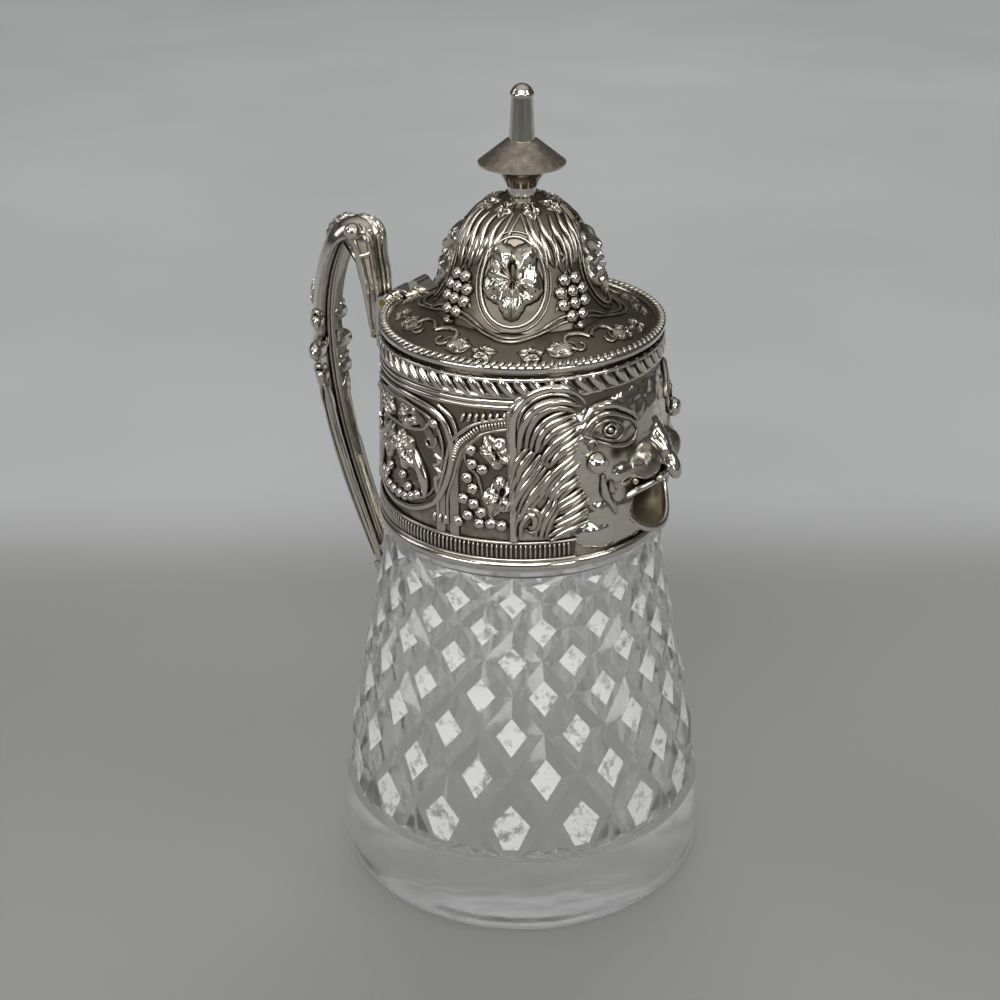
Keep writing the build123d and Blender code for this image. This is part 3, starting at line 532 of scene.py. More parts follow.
arch_outer_line = smooth_line([
    (-17.1, 89.6), (-17.1, 95.4), (-15.8, 100.0), (-14.7, 104.6), (-13.7, 107.4), (-11.5, 109.6),
    (-8.3, 111.9), (-2.2, 113.3), (0, 113.4)])
arch_inner_line = smooth_line([
    (-14.9, 89.6), (-14.9, 95.4), (-13.5, 100.0), (-12.3, 104.0), (-11.2, 106.3), (-9.3, 108.1),
    (-7.0, 110.0), (-2.2, 111.1), (0, 111.2)])
medallion_line = smooth_line([
    (0, 89.6), (6.0, 90.4), (11.3, 93.0), (13.6, 95.9), (15.3, 100.7), (15.8, 105.1), (15.2, 108.1),
    (13.9, 110.8), (11.0, 112.8), (5.0, 113.8), (0, 113.9)])
medallion_middle = 101.6



def bead(name, segments, rings, size):
    """A rounded flat form."""
    bpy.ops.mesh.primitive_uv_sphere_add(segments=segments, ring_count=rings, radius=1.0)
    piece = start(name)
    bpy.ops.transform.resize(value=size)
    bpy.ops.object.mode_set(mode="OBJECT")
    return piece


def spiral(first, growth, pitch, steps):
    """Flat points along a spiral, of a radius that grows from the first step on."""
    return [((first + growth * k) * cos(k / pitch), (first + growth * k) * sin(k / pitch))
            for k in steps]


def oval(wide, high, steps=20):
    """Flat points round an oval."""
    return [(wide * cos(2 * pi * k / steps), high * sin(2 * pi * k / steps))
            for k in range(steps + 1)]


def leaf_swell(t):
    """The thickness of a long leaf along it."""
    return 0.15 + sin(pi * t) ** 0.8


def widening(t):
    """The thickness of a scroll along it."""
    return 0.6 + 0.5 * t


grape_form = bead("grape", 10, 7, (0.98, 0.98, 0.833))
bar_form = bead("arch_bar", 8, 6, (0.85, 0.32, 0.55))
arch_outer = wire("arch_outer_rim", arch_outer_line, 0.42)
arch_inner = wire("arch_inner_rim", arch_inner_line, 0.36)
medallion_rim = wire("medallion_rim", medallion_line, 0.75, flat=0.8)
medallion_rib = wire("medallion_rib", [(x * 0.87, medallion_middle + (z - medallion_middle) * 0.86)
                                       for x, z in medallion_line], 0.34)
spandrel_rib = wire("spandrel_rib", smooth_line([
    (12.6, 114.0), (15.3, 112.2), (16.6, 109.2), (16.9, 106.0)]), 0.45)
stem_form = wire("vine_stem", smooth_line([
    (-11.2, 105.6), (-10.8, 103.2), (-8.6, 100.8), (-7.6, 97.0), (-6.1, 92.6), (-2.0, 90.0)]), 0.42,
    lambda t: 1.0 - 0.3 * t)
vine_form = wire("vine", smooth_line([
    (-0.4, 106.9), (4.7, 107.1), (9.0, 108.2), (11.1, 110.8)]), 0.45)
long_leaf_form = wire("long_leaf", smooth_line([
    (6.2, 103.4), (7.4, 100.8), (9.1, 96.9), (9.3, 93.2)]), 1.2, leaf_swell, flat=0.75)
s_scroll_form = wire("s_scroll", smooth_line([
    (12.0, 103.6), (13.3, 102.6), (12.0, 101.2), (13.3, 99.8), (12.2, 98.2), (12.6, 95.9)]), 0.6)
tendril_form = wire("tendril", spiral(0, 0.14, 2.3, range(2, 16)), 0.42, lambda t: 0.5 + 0.6 * t)
panel_grapes = (
    (-9.9, 106.2), (-9.7, 103.3), (-7.6, 102.4), (-10.7, 100.3), (-9.6, 98.2), (-11.5, 95.8),
    (-9.4, 95.0), (-7.9, 93.4), (-10.6, 92.4), (-6.0, 91.2), (-12.7, 90.8), (-8.3, 91.0),
    (-3.9, 90.9))
medallion_grapes = (
    (3.4, 92.0), (5.4, 92.7), (7.2, 93.6), (4.4, 94.4), (1.2, 91.8), (11.6, 109.9), (2.6, 96.4))
medallion_forms = (medallion_rim, medallion_rib, spandrel_rib, vine_form, long_leaf_form,
                   s_scroll_form)
bar_spacing = 0.68
bars_from = 103
chasing = []
for centre, side in ((-60, 1), (60, -1), (180, 1), (180, -1)):
    spot = (on_collar, radians(centre))
    lay(chasing, arch_outer, *spot, 0, 0, flip=side, lift=0.4)
    lay(chasing, arch_inner, *spot, 0, 0, flip=side, lift=0.35)
    middle = [((ax + bx) / 2, (az + bz) / 2)
              for (ax, az), (bx, bz) in zip(arch_outer_line, arch_inner_line)]
    for (ax, ay), (bx, by) in zip(middle, middle[1:]):
        steps = max(round(hypot(bx - ax, by - ay) / bar_spacing), 1)
        for step in range(steps):
            x, y = ax + (bx - ax) * step / steps, ay + (by - ay) * step / steps
            if y > bars_from:
                turn = atan2(by - ay, bx - ax) + pi / 2
                lay(chasing, bar_form, *spot, x, y, turn, 1.1, side, 0.25)
    for x, y in panel_grapes:
        lay(chasing, grape_form, *spot, x, y, 0, 1.3, side, 0.25)
    lay(chasing, leaf_form, *spot, -5.0, 106.2, 0.5, 0.92, side, 0.25)
    lay(chasing, leaf_form, *spot, -4.2, 96.9, 2.75, 1.02, side, 0.25)
    lay(chasing, stem_form, *spot, 0, 0, flip=side, lift=0.2)
    for step in range(7):
        lay(chasing, bar_form, *spot, -11.4 + 1.35 * step, 112.5 + 0.16 * step,
            1.2 + 0.05 * step, 1.5, side, 0.2)
        if step < 3:
            lay(chasing, bar_form, *spot, -17.9 + 1.3 * step, 90.4, pi / 2, 1.5, side, 0.25)
for centre, side in ((-120, 1), (-120, -1), (120, 1), (120, -1)):
    spot = (on_collar, radians(centre))
    for form in medallion_forms:
        lay(chasing, form, *spot, 0, 0, flip=side, lift=0.3)
    for x, y in medallion_grapes:
        lay(chasing, grape_form, *spot, x, y, 0, 1.15, side, 0.25)
    lay(chasing, leaf_form, *spot, 4.2, 109.4, 1.9, 0.85, side, 0.2)
    lay(chasing, leaf_form, *spot, 3.4, 102.0, 0.4, 1.05, side, 0.2)
    lay(chasing, tendril_form, *spot, 10.4, 106.0, 0.4, 0.9, side, 0.3)
silver_chased = oxidised("silver_plate_chased_oxidised", 0, 0)
gather(chasing, "collar_chasing", silver_chased, "jug")

silver_stippled = oxidised("silver_plate_stippled_ground", 27.9 * mm, 29.6 * mm, "#7F786C")
nodes["collar_sleeve"].data.materials[0] = silver_stippled

# Lion mask spout. One hollow casting in Britannia metal, soldered over the pouring hole: broad
# skull, long drooping nose, whisker pads and an open jaw that runs down into a smooth throat.
lion_mesh = 0.4
mouth_middle = 90.4
throat_foot = 83.4
brow_top = 116.9
head_r = 30
head_outside = 60


def lump(x, y, z, sx, sy, sz, lean=0.0, swing=0.0):
    """A rounded form of the face, in millimetres, leant with the nose or swung sideways."""
    bpy.ops.mesh.primitive_uv_sphere_add(
        segments=32, ring_count=18, radius=mm, location=(x * mm, y * mm, z * mm),
        scale=(sx, sy, sz), rotation=(radians(swing), radians(lean), 0))
    bpy.ops.object.transform_apply(location=True, rotation=True, scale=True)
    return bpy.context.object


def pair(x, y, z, sx, sy, sz, lean=0.0, swing=0.0):
    """The same form on both sides of the face."""
    return [lump(x, -y, z, sx, sy, sz, lean, swing), lump(x, y, z, sx, sy, sz, lean, -swing)]


def melt(pieces, name, size, rounds):
    """Joins forms into one skin and smooths it, as the carver's clay was."""
    bpy.ops.object.select_all(action="DESELECT")
    for piece in pieces:
        piece.select_set(True)
    bpy.context.view_layer.objects.active = pieces[0]
    bpy.ops.object.join()
    whole = bpy.context.object
    whole.name = name
    finish_modifier(whole, "REMESH", mode="VOXEL", voxel_size=size * mm)
    finish_modifier(whole, "SMOOTH", factor=0.5, iterations=rounds)
    return whole


def carve(piece, cutter):
    """Cuts one form out of another."""
    finish_modifier(piece, "BOOLEAN", operation="DIFFERENCE", object=cutter, solver="EXACT")
    bpy.data.objects.remove(cutter)


skull = lump(9, 0, 103.5, 21.7, 25.0, 26)
brow = lump(24.9, 0, 110.4, 5.4, 7.5, 3.6)
throat = lump(19.2, 0, 87.4, 11.2, 19.2, 8.4)
nose = [lump(30.4, 0, 105.2, 1.8, 2.1, 7.2, -36), lump(34.4, 0, 98.6, 1.6, 2.0, 3.2, -26)]
nose_root = [lump(28.6, 0, 105.0, 2.6, 3.6, 6.4, -28), lump(27.2, 0, 110.4, 2.2, 2.6, 4.6, -16)]
whisker_pads = pair(30.0, 4.4, 100.4, 3.6, 3.9, 3.9)
cheeks = pair(26.6, 9.0, 99.8, 3.2, 4.6, 3.0)
jaw = [lump(24.0, 0, 88.4, 8.9, 11.0, 5.6), lump(20.5, 0, 91.6, 10.6, 17.0, 9.4)]
jowls = pair(26.0, 9.6, 95.2, 2.6, 2.6, 3.4)
face = [skull, brow, throat] + nose + nose_root + whisker_pads + cheeks + jaw + jowls
lion = melt(face, "lion_mask_spout", lion_mesh, 12)
carve(lion, lump(31.0, 0, mouth_middle, 9.4, 8.6, 5.2))
for side in (-1, 1):
    carve(lion, lump(36.6, 1.4 * side, 97.4, 1.0, 0.7, 0.6))
bpy.ops.mesh.primitive_cone_add(vertices=96, radius1=28.75 * mm, radius2=27.55 * mm,
                                depth=44 * mm, location=(0, 0, 101.5 * mm))
bpy.ops.object.transform_apply(location=True)
carve(lion, bpy.context.object)
bpy.context.view_layer.objects.active = lion
bpy.ops.object.mode_set(mode="EDIT")
bpy.ops.mesh.select_all(action="SELECT")
bpy.ops.mesh.bisect(plane_co=(0, 0, throat_foot * mm), plane_no=(0, 0, 1), clear_inner=True,
                    use_fill=True)
bpy.ops.mesh.select_all(action="SELECT")
bpy.ops.mesh.bisect(plane_co=(0, 0, brow_top * mm), plane_no=(0, 0, 1), clear_outer=True,
                    use_fill=True)
bpy.ops.object.mode_set(mode="OBJECT")
finish_modifier(lion, "REMESH", mode="VOXEL", voxel_size=lion_mesh * 0.9 * mm)
finish_modifier(lion, "SMOOTH", factor=0.5, iterations=3)
chisel_marks = [(0.16, 0.42), (0.1, 1.05)]
for vertex in lion.data.vertices:
    for depth, pitch in chisel_marks:
        vertex.co += vertex.normal * depth * mm * noise.noise(vertex.co / mm * pitch)


def on_head(angle, across, up, out):
    """The place on the lion's skin for a flat point, or on the collar past it."""
    turn = angle + across / head_r
    way = Vector((cos(turn), sin(turn), 0))
    start_place = way * head_outside * mm + Vector((0, 0, up * mm))
    hit, place, normal, face_number = lion.ray_cast(start_place, -way, distance=34 * mm)
    return place + normal * out * mm if hit else on_collar(angle, across, up, out)


def tapered(t):
    """A strand's thickness along it, full in the middle and fine at both ends."""
    return 0.35 + 0.75 * sin(pi * min(t * 0.92 + 0.04, 1.0))


eye_angle = 25.4
fine_lines = [
    ([(-6.1, 110.5), (-4.7, 112.1), (-2.9, 113.2), (-0.3, 113.6), (2.8, 112.6), (5.5, 111.0),
      (6.6, 108.9)], 0.55),
    ([(-6.1, 110.3), (-3.1, 108.7), (0.3, 107.3), (3.5, 106.7), (5.6, 107.3), (6.6, 108.7)], 0.5),
    ([(-4.2, 110.4), (-2.6, 111.9), (-0.3, 112.3), (2.1, 111.5), (3.2, 109.8)], 0.4),
    ([(-3.8, 109.9), (-1.1, 108.7), (1.3, 108.2), (3.0, 109.2)], 0.4),
    ([(-5.6, 113.0), (-3.7, 114.7), (-1.2, 115.3), (2.1, 114.7), (5.4, 112.7), (7.0, 110.8)], 0.9),
    ([(-4.6, 107.2), (-4.9, 108.3), (-4.2, 109.0), (-3.3, 108.6), (-3.3, 107.6), (-4.0, 107.4)],
     0.42),
    ([(-1.7, 100.4), (-1.6, 98.4), (-0.8, 95.9), (0.4, 94.0), (1.4, 91.4)], 0.9),
    ([(-0.2, 99.0), (0.4, 97.0), (1.4, 95.6)], 0.7),
]
eye_sunk = 1.1
eye_lines = 6
relief = []
for number, (points, thick) in enumerate(fine_lines):
    line = wire("face_line", smooth_line(points), thick, tapered)
    sunk = eye_sunk if number < eye_lines else 0.0
    for side in (-1, 1):
        lay(relief, line, on_head, radians(side * eye_angle), 0, -sunk, flip=-side, lift=0.1)
ball_form = bead("face_ball", 20, 12, (1, 1, 1))
eye_ring = wire("eye_ring", oval(1.35, 1.1), 0.3)
for side in (-1, 1):
    spot = (on_head, radians(side * eye_angle))
    lay(relief, eye_ring, *spot, -0.1, 110.4 - eye_sunk, flip=-side, lift=0.35)
    lay(relief, ball_form, *spot, -0.1, 110.4 - eye_sunk, size=0.8, flip=-side, lift=0.0)
    lay(relief, ball_form, on_head, radians(side * 31.9), 0, 103.5, size=2.0, flip=-side, lift=0.7)
pearls = []
for x, y, z in ((28.6, 7.0, 99.2), (30.0, 5.6, 98.3), (31.2, 4.2, 97.6), (32.8, 2.6, 96.5),
                (29.3, 6.4, 96.6)):
    pearls += pair(x, y, z, 0.85, 0.8, 0.85)
lip_steps = 48
lip_line = bpy.data.curves.new("lip", "CURVE")
lip_line.dimensions = "3D"
lip_line.bevel_depth = 0.8 * mm
lip_line.bevel_resolution = 3
lip_spline = lip_line.splines.new("POLY")
lip_spline.points.add(lip_steps - 1)
lip_spline.use_cyclic_u = True
for step, point in enumerate(lip_spline.points):
    turn = 2 * pi * step / lip_steps
    low = cos(turn) < 0
    point.co = ((28.1 + (4.1 if low else 3.9) * cos(turn) ** 2) * mm, 8.9 * sin(turn) * mm,
                (92.8 + (7.9 if low else 2.9) * cos(turn)) * mm, 1)
lip_ring = [Vector(point.co[:3]) for point in lip_spline.points]
lip = bpy.data.objects.new("lip", lip_line)
lip_mesh = bpy.data.meshes.new_from_object(lip)
bpy.data.objects.remove(lip)
lip = bpy.data.objects.new("lip", lip_mesh)
bpy.context.scene.collection.objects.link(lip)

# Inside of the mouth. The casting's own wall, from the lip back to the pouring hole: no plate
# reached it, and the base metal has gone dull brown.
bore_r = 4.6
bore_rise = 0.9
bore_mouth = 28.3
lining_depths = ((32.0, 0.0), (29.4, 0.55), (28.3, 1.0), (26.6, 1.0), (22.6, 1.0))
bpy.ops.mesh.primitive_circle_add(vertices=lip_steps, radius=bore_r * mm, rotation=(0, pi / 2, 0),
                                  location=(32.0 * mm, 0, mouth_middle * mm))
lining = start("lion_mouth_inside")
for depth in range(4):
    bpy.ops.mesh.extrude_edges_move()
bpy.ops.object.mode_set(mode="OBJECT")
for number, vertex in enumerate(lining.data.vertices):
    ring = number // lip_steps
    reach, share = lining_depths[ring]
    turn = atan2(vertex.co.y, vertex.co.z - mouth_middle * mm)
    rim = lip_ring[round(turn / (2 * pi) * lip_steps) % lip_steps]
    bore_middle = mouth_middle + bore_rise * (ring > 2)
    bore = Vector((reach, bore_r * sin(turn), bore_middle + bore_r * cos(turn))) * mm
    vertex.co = rim.lerp(bore, share)
    if share < 1.0:
        vertex.co.x = rim.x + (bore_mouth * mm - rim.x) * share
finish_modifier(lining, "SOLIDIFY", thickness=0.25 * mm, offset=0)
finish_modifier(lining, "SUBSURF", levels=1, render_levels=1)
bpy.ops.object.shade_smooth()
brass_browned, browned_place = fresh_material("brass_bare_browned")
browned_spots = add(brass_browned, "TexNoise", "Fac",
                    {"Vector": browned_place, "Scale": 350.0, "Detail": 3.0})
browned_tone = add(brass_browned, "ValToRGB", "Color", {"Fac": browned_spots},
                   [(0.3, "#6B6250"), (0.7, "#857A63")])
close_material(brass_browned, Base_Color=browned_tone, Metallic=0.75, Roughness=0.48)
lining.data.materials.append(brass_browned)
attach(lining, "jug")

# Mane. Cast with the head: wavy locks, each of two or three strands, on a plate that ends in an
# upright edge beside the arcade and under a small arched moulding.
mane_angle = 48.5
mane_half = 7.3
plate_proud = 0.75
plate_inner = -4.7
arch_foot = 112.0
flat_degree = 0.52
locks = [
    ([(-5.6, 107.5), (-5.2, 110.6), (-4.3, 113.1), (-2.9, 115.0), (-0.5, 116.1), (1.95, 116.0),
      (4.6, 114.9)], 2, 0.85),
    ([(-3.6, 106.8), (-3.0, 109.6), (-1.7, 111.9), (0.3, 113.4), (2.6, 114.1)], 2, 0.7),
    ([(-1.8, 108.2), (-0.6, 110.1), (1.3, 111.6), (4.2, 112.7)], 3, 0.7),
    ([(-1.3, 104.6), (0.3, 106.9), (2.0, 108.4), (4.6, 110.2)], 3, 0.7),
    ([(0.6, 104.4), (2.2, 106.0), (4.8, 107.4)], 2, 0.7),
    ([(-1.5, 97.0), (0.0, 100.3), (2.0, 102.5), (4.6, 104.6)], 3, 0.75),
    ([(0.2, 96.6), (1.7, 98.9), (4.9, 100.9)], 3, 0.7),
    ([(1.0, 93.9), (3.3, 95.2), (6.3, 97.0)], 4, 0.62),
    ([(0.4, 90.9), (2.9, 92.0), (6.6, 93.8)], 3, 0.62),
    ([(-7.0, 100.6), (-6.6, 103.2), (-5.7, 105.4), (-4.2, 107.3)], 2, 0.7),
    ([(-6.9, 96.6), (-6.2, 99.7), (-5.0, 102.2), (-3.6, 104.4), (-2.3, 106.2)], 3, 0.7),
    ([(-6.6, 93.6), (-5.6, 96.9), (-4.2, 99.5), (-2.7, 101.5), (-1.3, 103.4)], 3, 0.7),
    ([(-5.6, 92.4), (-4.6, 95.3), (-3.2, 97.4), (-2.0, 98.9), (-0.8, 101.0)], 2, 0.7),
    ([(-6.5, 88.8), (-6.4, 91.3), (-5.6, 93.2), (-4.3, 94.4), (-3.1, 93.6), (-2.9, 91.7),
      (-3.8, 90.3), (-4.8, 90.9)], 2, 0.65),
    ([(-2.3, 88.6), (-1.8, 91.2), (-0.9, 93.6), (0.2, 95.4), (0.6, 97.0)], 3, 0.65),
    ([(-0.6, 88.4), (1.2, 89.6), (3.9, 90.8), (6.9, 91.6)], 2, 0.6),
]
moulding_line = [(-mane_half, 88.0 + 2.0 * k) for k in range(12)]
moulding_line += [(-mane_half * cos(radians(9 * k)), arch_foot + mane_half * sin(radians(9 * k)))
                  for k in range(18)]
inner_line = [(x * 0.86, min(z, arch_foot + (z - arch_foot) * 0.84)) for x, z in moulding_line[8:]]


def run_out(t):
    """The thickness of a moulding along it, which runs out at its far end."""
    return min(1.0, 0.2 + 4.5 * (1 - t))


moulding = wire("mane_moulding", moulding_line, 0.85, run_out, flat=0.9)
inner_moulding = wire("mane_inner_moulding", inner_line, 0.4, run_out)


def strands(points, count, thick):
    """The strands of one lock, side by side along its line."""
    fine = smooth_line(points)
    made = []
    for number in range(count):
        shift = (number - (count - 1) / 2) * thick * 1.5
        side_line = []
        for before, point, after in zip([fine[0]] + fine, fine, fine[1:] + [fine[-1]]):
            along = Vector((after[0] - before[0], after[1] - before[1])).normalized()
            side_line.append((point[0] - along.y * shift, point[1] + along.x * shift))
        made.append(wire("strand", side_line, thick, tapered, flat=1.1))
    return made


def on_plate(x, up):
    """Whether a flat point about the spout lies on the mane's plate."""
    beside = abs(x) - mane_angle * flat_degree
    return (plate_inner < beside < mane_half
            and up < arch_foot + (mane_half ** 2 - beside ** 2) ** 0.5)


bpy.ops.mesh.primitive_grid_add(x_subdivisions=130, y_subdivisions=62, size=1.0)
plate_form = start("mane_plate")
bpy.ops.transform.resize(value=(65.6, 31.2, 1))
bpy.ops.transform.translate(value=(0, 103.6, 0))
choose(lambda f: not on_plate(f.calc_center_median().x, f.calc_center_median().y), "faces")
bpy.ops.mesh.delete(type="FACE")
choose(lambda e: e.is_boundary, "edges")
bpy.ops.mesh.extrude_edges_move(TRANSFORM_OT_translate={"value": (0, 0, -1.2)})
bpy.ops.object.mode_set(mode="OBJECT")
mane = []
lay(mane, plate_form, on_collar, 0, 0, 0, lift=plate_proud)
for side in (-1, 1):
    spot = (on_collar, radians(side * mane_angle), 0, 0)
    lay(mane, moulding, *spot, flip=-side, lift=0.7)
    lay(mane, inner_moulding, *spot, flip=-side, lift=0.8)
for number, (points, count, thick) in enumerate(locks):
    for place, line in enumerate(strands(points, count, thick)):
        for side in (-1, 1):
            lay(mane, line, on_collar, radians(side * mane_angle), 0, 0, flip=-side,
                            lift=plate_proud + 0.25 + 0.3 * ((number + place) % 2), full=2.4)
# Spots of painted shade on the lion's face: the muzzle, beside the nose, under the eye and beside
# the mouth.
face_painted_shade = (
    (30.8, 5.2, 100.6, 3.8), (28.2, 8.4, 105.3, 2.3), (27.2, 11.6, 104.6, 1.8),
    (29.0, 7.6, 94.6, 2.2))
for piece in [lion, lip] + pearls:
    level = piece.data.attributes.new("height", "FLOAT", "POINT").data
    for vertex, mark in zip(piece.data.vertices, level):
        mark.value = 1.0
        # Painted shade: the lion's height mark is lowered in these spots, so they take the dark
        # tone.
        if piece is lion:
            place = vertex.co / mm
            place.y = abs(place.y)
            painted_dark = sum(exp(-(place - Vector(hollow[:3])).length_squared / hollow[3] ** 2)
                       for hollow in face_painted_shade)
            mark.value = max(1.0 - painted_dark, 0.0)
silver_cast = oxidised("silver_plate_cast_oxidised_and_shaded", 0, 0)
gather(mane, "lion_mane", silver_chased, "jug")
head = gather([lion, lip] + relief + pearls, "lion_head", silver_cast, "jug")
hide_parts("lion_mask")

# Handle. Cast in two halves and soldered: a slender grooved stem, a leaf node where scrolls wrap
# it, and a crook that ends in fluted leaves on the hinge bracket. The ribs lie on its surface.
grip_points = [
    (-35.8, 60.0), (-39.6, 70.0), (-43.6, 81.2), (-47.0, 94.0), (-48.9, 108.1), (-48.5, 120.1),
    (-45.5, 130.5), (-40.8, 136.1), (-36.8, 136.4), (-35.3, 131.5), (-34.3, 124.0), (-33.7, 114.0)]
grip_line = smooth_line(grip_points, 8)
grip_way = [0.0]
for (ax, az), (bx, bz) in zip(grip_line, grip_line[1:]):
    grip_way.append(grip_way[-1] + hypot(bx - ax, bz - az))
grip_nodes = [nodes[name] for name in ("handle_stem", "handle_leaf_node", "handle_crook")]
grip_half = 4.0
grip_reach = 14.0 * mm


def on_grip(angle, across, up, out):
    """The place on the handle at a distance up its line and an angle from its outer face."""
    along = min(max(up, 0.05), grip_way[-1] - 0.05)
    step = max(k for k in range(len(grip_line) - 1) if grip_way[k] <= along)
    (ax, az), (bx, bz) = grip_line[step], grip_line[step + 1]
    share = (along - grip_way[step]) / (grip_way[step + 1] - grip_way[step])
    middle = Vector((ax + (bx - ax) * share, 0, az + (bz - az) * share)) * mm
    tangent = Vector((bx - ax, 0, bz - az)).normalized()
    outward = Vector((-tangent.z, 0, tangent.x))
    turn = angle + across / grip_half
    way = outward * cos(turn) + Vector((0, 1, 0)) * sin(turn)
    best = None
    for node in grip_nodes:
        hit, place, normal, face_number = node.ray_cast(middle + way * grip_reach, -way,
                                                        distance=grip_reach - 0.1 * mm)
        if hit and (best is None or (place - middle).length > best):
            best = (place - middle).length
    return middle + way * ((best or 2.0 * mm) + out * mm)


def long_wire(name, low, high, radius, count=40):
    """An upright flat wire between two distances up the handle."""
    points = [(0, low + (high - low) * k / count) for k in range(count + 1)]
    return wire(name, points, radius, tapered)


stem_rib = long_wire("stem_rib", 1.5, 42.0, 0.62)
stem_groove = wire("stem_groove", [(0, 2.0 + k) for k in range(38)], 1.15, tapered, flat=0.25)
rim_rib = long_wire("channel_rim", 3.0, 84.0, 0.6, 70)
flute_rib = long_wire("leaf_flute", 84.0, 106.0, 0.75, 24)
sheath_rib = wire("sheath_rib", smooth_line([
    (-1.9, 36.5), (-1.5, 39.5), (0.0, 43.0), (1.5, 39.5), (1.9, 36.5)]), 0.6, tapered)
grip_ribs = ((76, stem_rib), (121, stem_rib), (152, rim_rib), (24, flute_rib), (66, flute_rib),
             (104, flute_rib))
node_scroll = wire("node_scroll", spiral(0.55, 0.13, 2.2, range(10)), 0.6, widening)
handle_chasing = []
for side in (-1, 1):
    for angle, form in grip_ribs:
        lay(handle_chasing, form, on_grip, radians(side * angle), 0, 0, lift=0.05)
    for up, size, turn in ((46.0, 0.95, 0.2), (52.0, 1.1, 2.6), (58.5, 0.9, 0.4)):
        lay(handle_chasing, node_scroll, on_grip, radians(side * 108), 0, up, turn, 1.15 * size,
            side, 0.4)
        lay(handle_chasing, grape_form, on_grip, radians(side * 104), 0, up - 1.6, 0, 2.0 * size,
            side, 0.2)
    lay(handle_chasing, leaf_form, on_grip, radians(side * 40), 0, 62.5, 0, 0.72, side, 0.0)
    lay(handle_chasing, leaf_form, on_grip, radians(side * 52), 0, 43.0, pi, 0.62, side, 0.0)
    lay(handle_chasing, sheath_rib, on_grip, radians(side * 99), 0, 0, lift=0.2)
    lay(handle_chasing, stem_groove, on_grip, radians(side * 98), 0, 0, lift=0.0, full=9.0)
for up, size, turn in ((49.0, 0.9, 0), (57.0, 0.8, 0), (78.0, 0.95, 0), (85.5, 0.8, 0)):
    lay(handle_chasing, leaf_form, on_grip, 0, 0, up, turn, size, 1, -1.3 if up < 70 else -0.1)
ball_ring = wire("ball_ring", oval(2.5, 2.5), 0.5)
lay(handle_chasing, ball_ring, on_grip, radians(-90), 0, 87.5, lift=0.1)
silver_handle = oxidised("silver_plate_cast_handle", 0, 0.1 * mm)
for name in ("handle_stem", "handle_leaf_node", "handle_crook", "handle_ball", "hinge_bracket",
             "upper_wire", "foot_wire"):
    nodes[name].data.materials[0] = silver_handle
gather(handle_chasing, "handle_chasing", silver_handle, "jug")

# Gadrooned band. A rolled strip round the collar's top, with lobes that lean down to the right.
gadroon_count = 60
gadroon_middle = 119.15
strip_r = 28.1
strip_rings = ((117.1, 28.55), (117.6, 28.6), (118.2, 28.15), (120.3, 28.1), (120.7, 28.6),
               (121.2, 28.55), (121.2, 27.9))
bpy.ops.mesh.primitive_circle_add(vertices=96, radius=strip_r * mm, location=(0, 0, 117.1 * mm))
gadroon_strip = start("gadroon_strip")
for height, radius in strip_rings:
    ring_out(height * mm, radius * mm)
bpy.ops.mesh.select_all(action="SELECT")
bpy.ops.mesh.normals_make_consistent(inside=False)
bpy.ops.object.mode_set(mode="OBJECT")
gadroon_form = bead("gadroon_lobe", 10, 8, (1.34, 2.45, 1.0))
for vertex in gadroon_form.data.vertices:
    vertex.co.x += -0.72 * vertex.co.y + 0.1 * vertex.co.y ** 2
gadroon_level = gadroon_strip.data.attributes.new("height", "FLOAT", "POINT").data
for vertex, mark in zip(gadroon_strip.data.vertices, gadroon_level):
    mark.value = (hypot(vertex.co.x, vertex.co.y) / mm - strip_r) * 2.2
gadroons = [gadroon_strip]
for number in range(gadroon_count):
    lay(gadroons, gadroon_form, on_collar, 2 * pi * number / gadroon_count, 0, gadroon_middle,
        lift=0.1, full=0.8)
gadroon_band = gather(gadroons, "gadroon_lobes", silver_chased, "jug")
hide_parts("gadroon_band")

# Lid cover. Sheet stamped to a flat flange and a bell, then chased: four egg-shaped panels with a
# crinkled leaf, grapes between them, a ribbed ribbon at the foot and ovals on the flange.
lid_low = 122.95
lid_high = 147.9
lid_line = []
lid_levels = 120
for step in range(lid_levels + 1):
    height = lid_low + (lid_high - lid_low) * step / lid_levels
    outside = Vector((0, -60 * mm, height * mm))
    hit, place, normal, face_number = nodes["lid_cover"].ray_cast(outside, Vector((0, 1, 0)))
    lid_line.append((abs(place.y) / mm, height))
lid_way = [0.0]
for (ar, az), (br, bz) in zip(lid_line, lid_line[1:]):
    lid_way.append(lid_way[-1] + hypot(br - ar, bz - az))


def on_lid(angle, across, up, out):
    """The place on the lid for a flat point, with up measured in from the flange's edge."""
    step = max(k for k in range(lid_levels) if lid_way[k] <= max(up, 0.0))
    (ar, az), (br, bz) = lid_line[step], lid_line[step + 1]
    length = lid_way[step + 1] - lid_way[step]
    share = min((up - lid_way[step]) / length, 1.0)
    radius = ar + (br - ar) * share
    turn = angle + across / max(radius, 3.0)
    radius += out * (bz - az) / length
    height = az + (bz - az) * share - out * (br - ar) / length
    return Vector((radius * cos(turn), radius * sin(turn), height)) * mm


panel_turn = -67.0
panel_middle = 18.6
panel_half_width = 6.3
panel_half_height = 8.6


def panel_line(grow):
    """Flat points round an egg-shaped panel."""
    points = []
    for step in range(33):
        t = 2 * pi * step / 32
        points.append(((panel_half_width + grow) * sin(t) * (1 + 0.14 * cos(t)),
                       panel_middle - (panel_half_height + grow) * cos(t)))
    return points


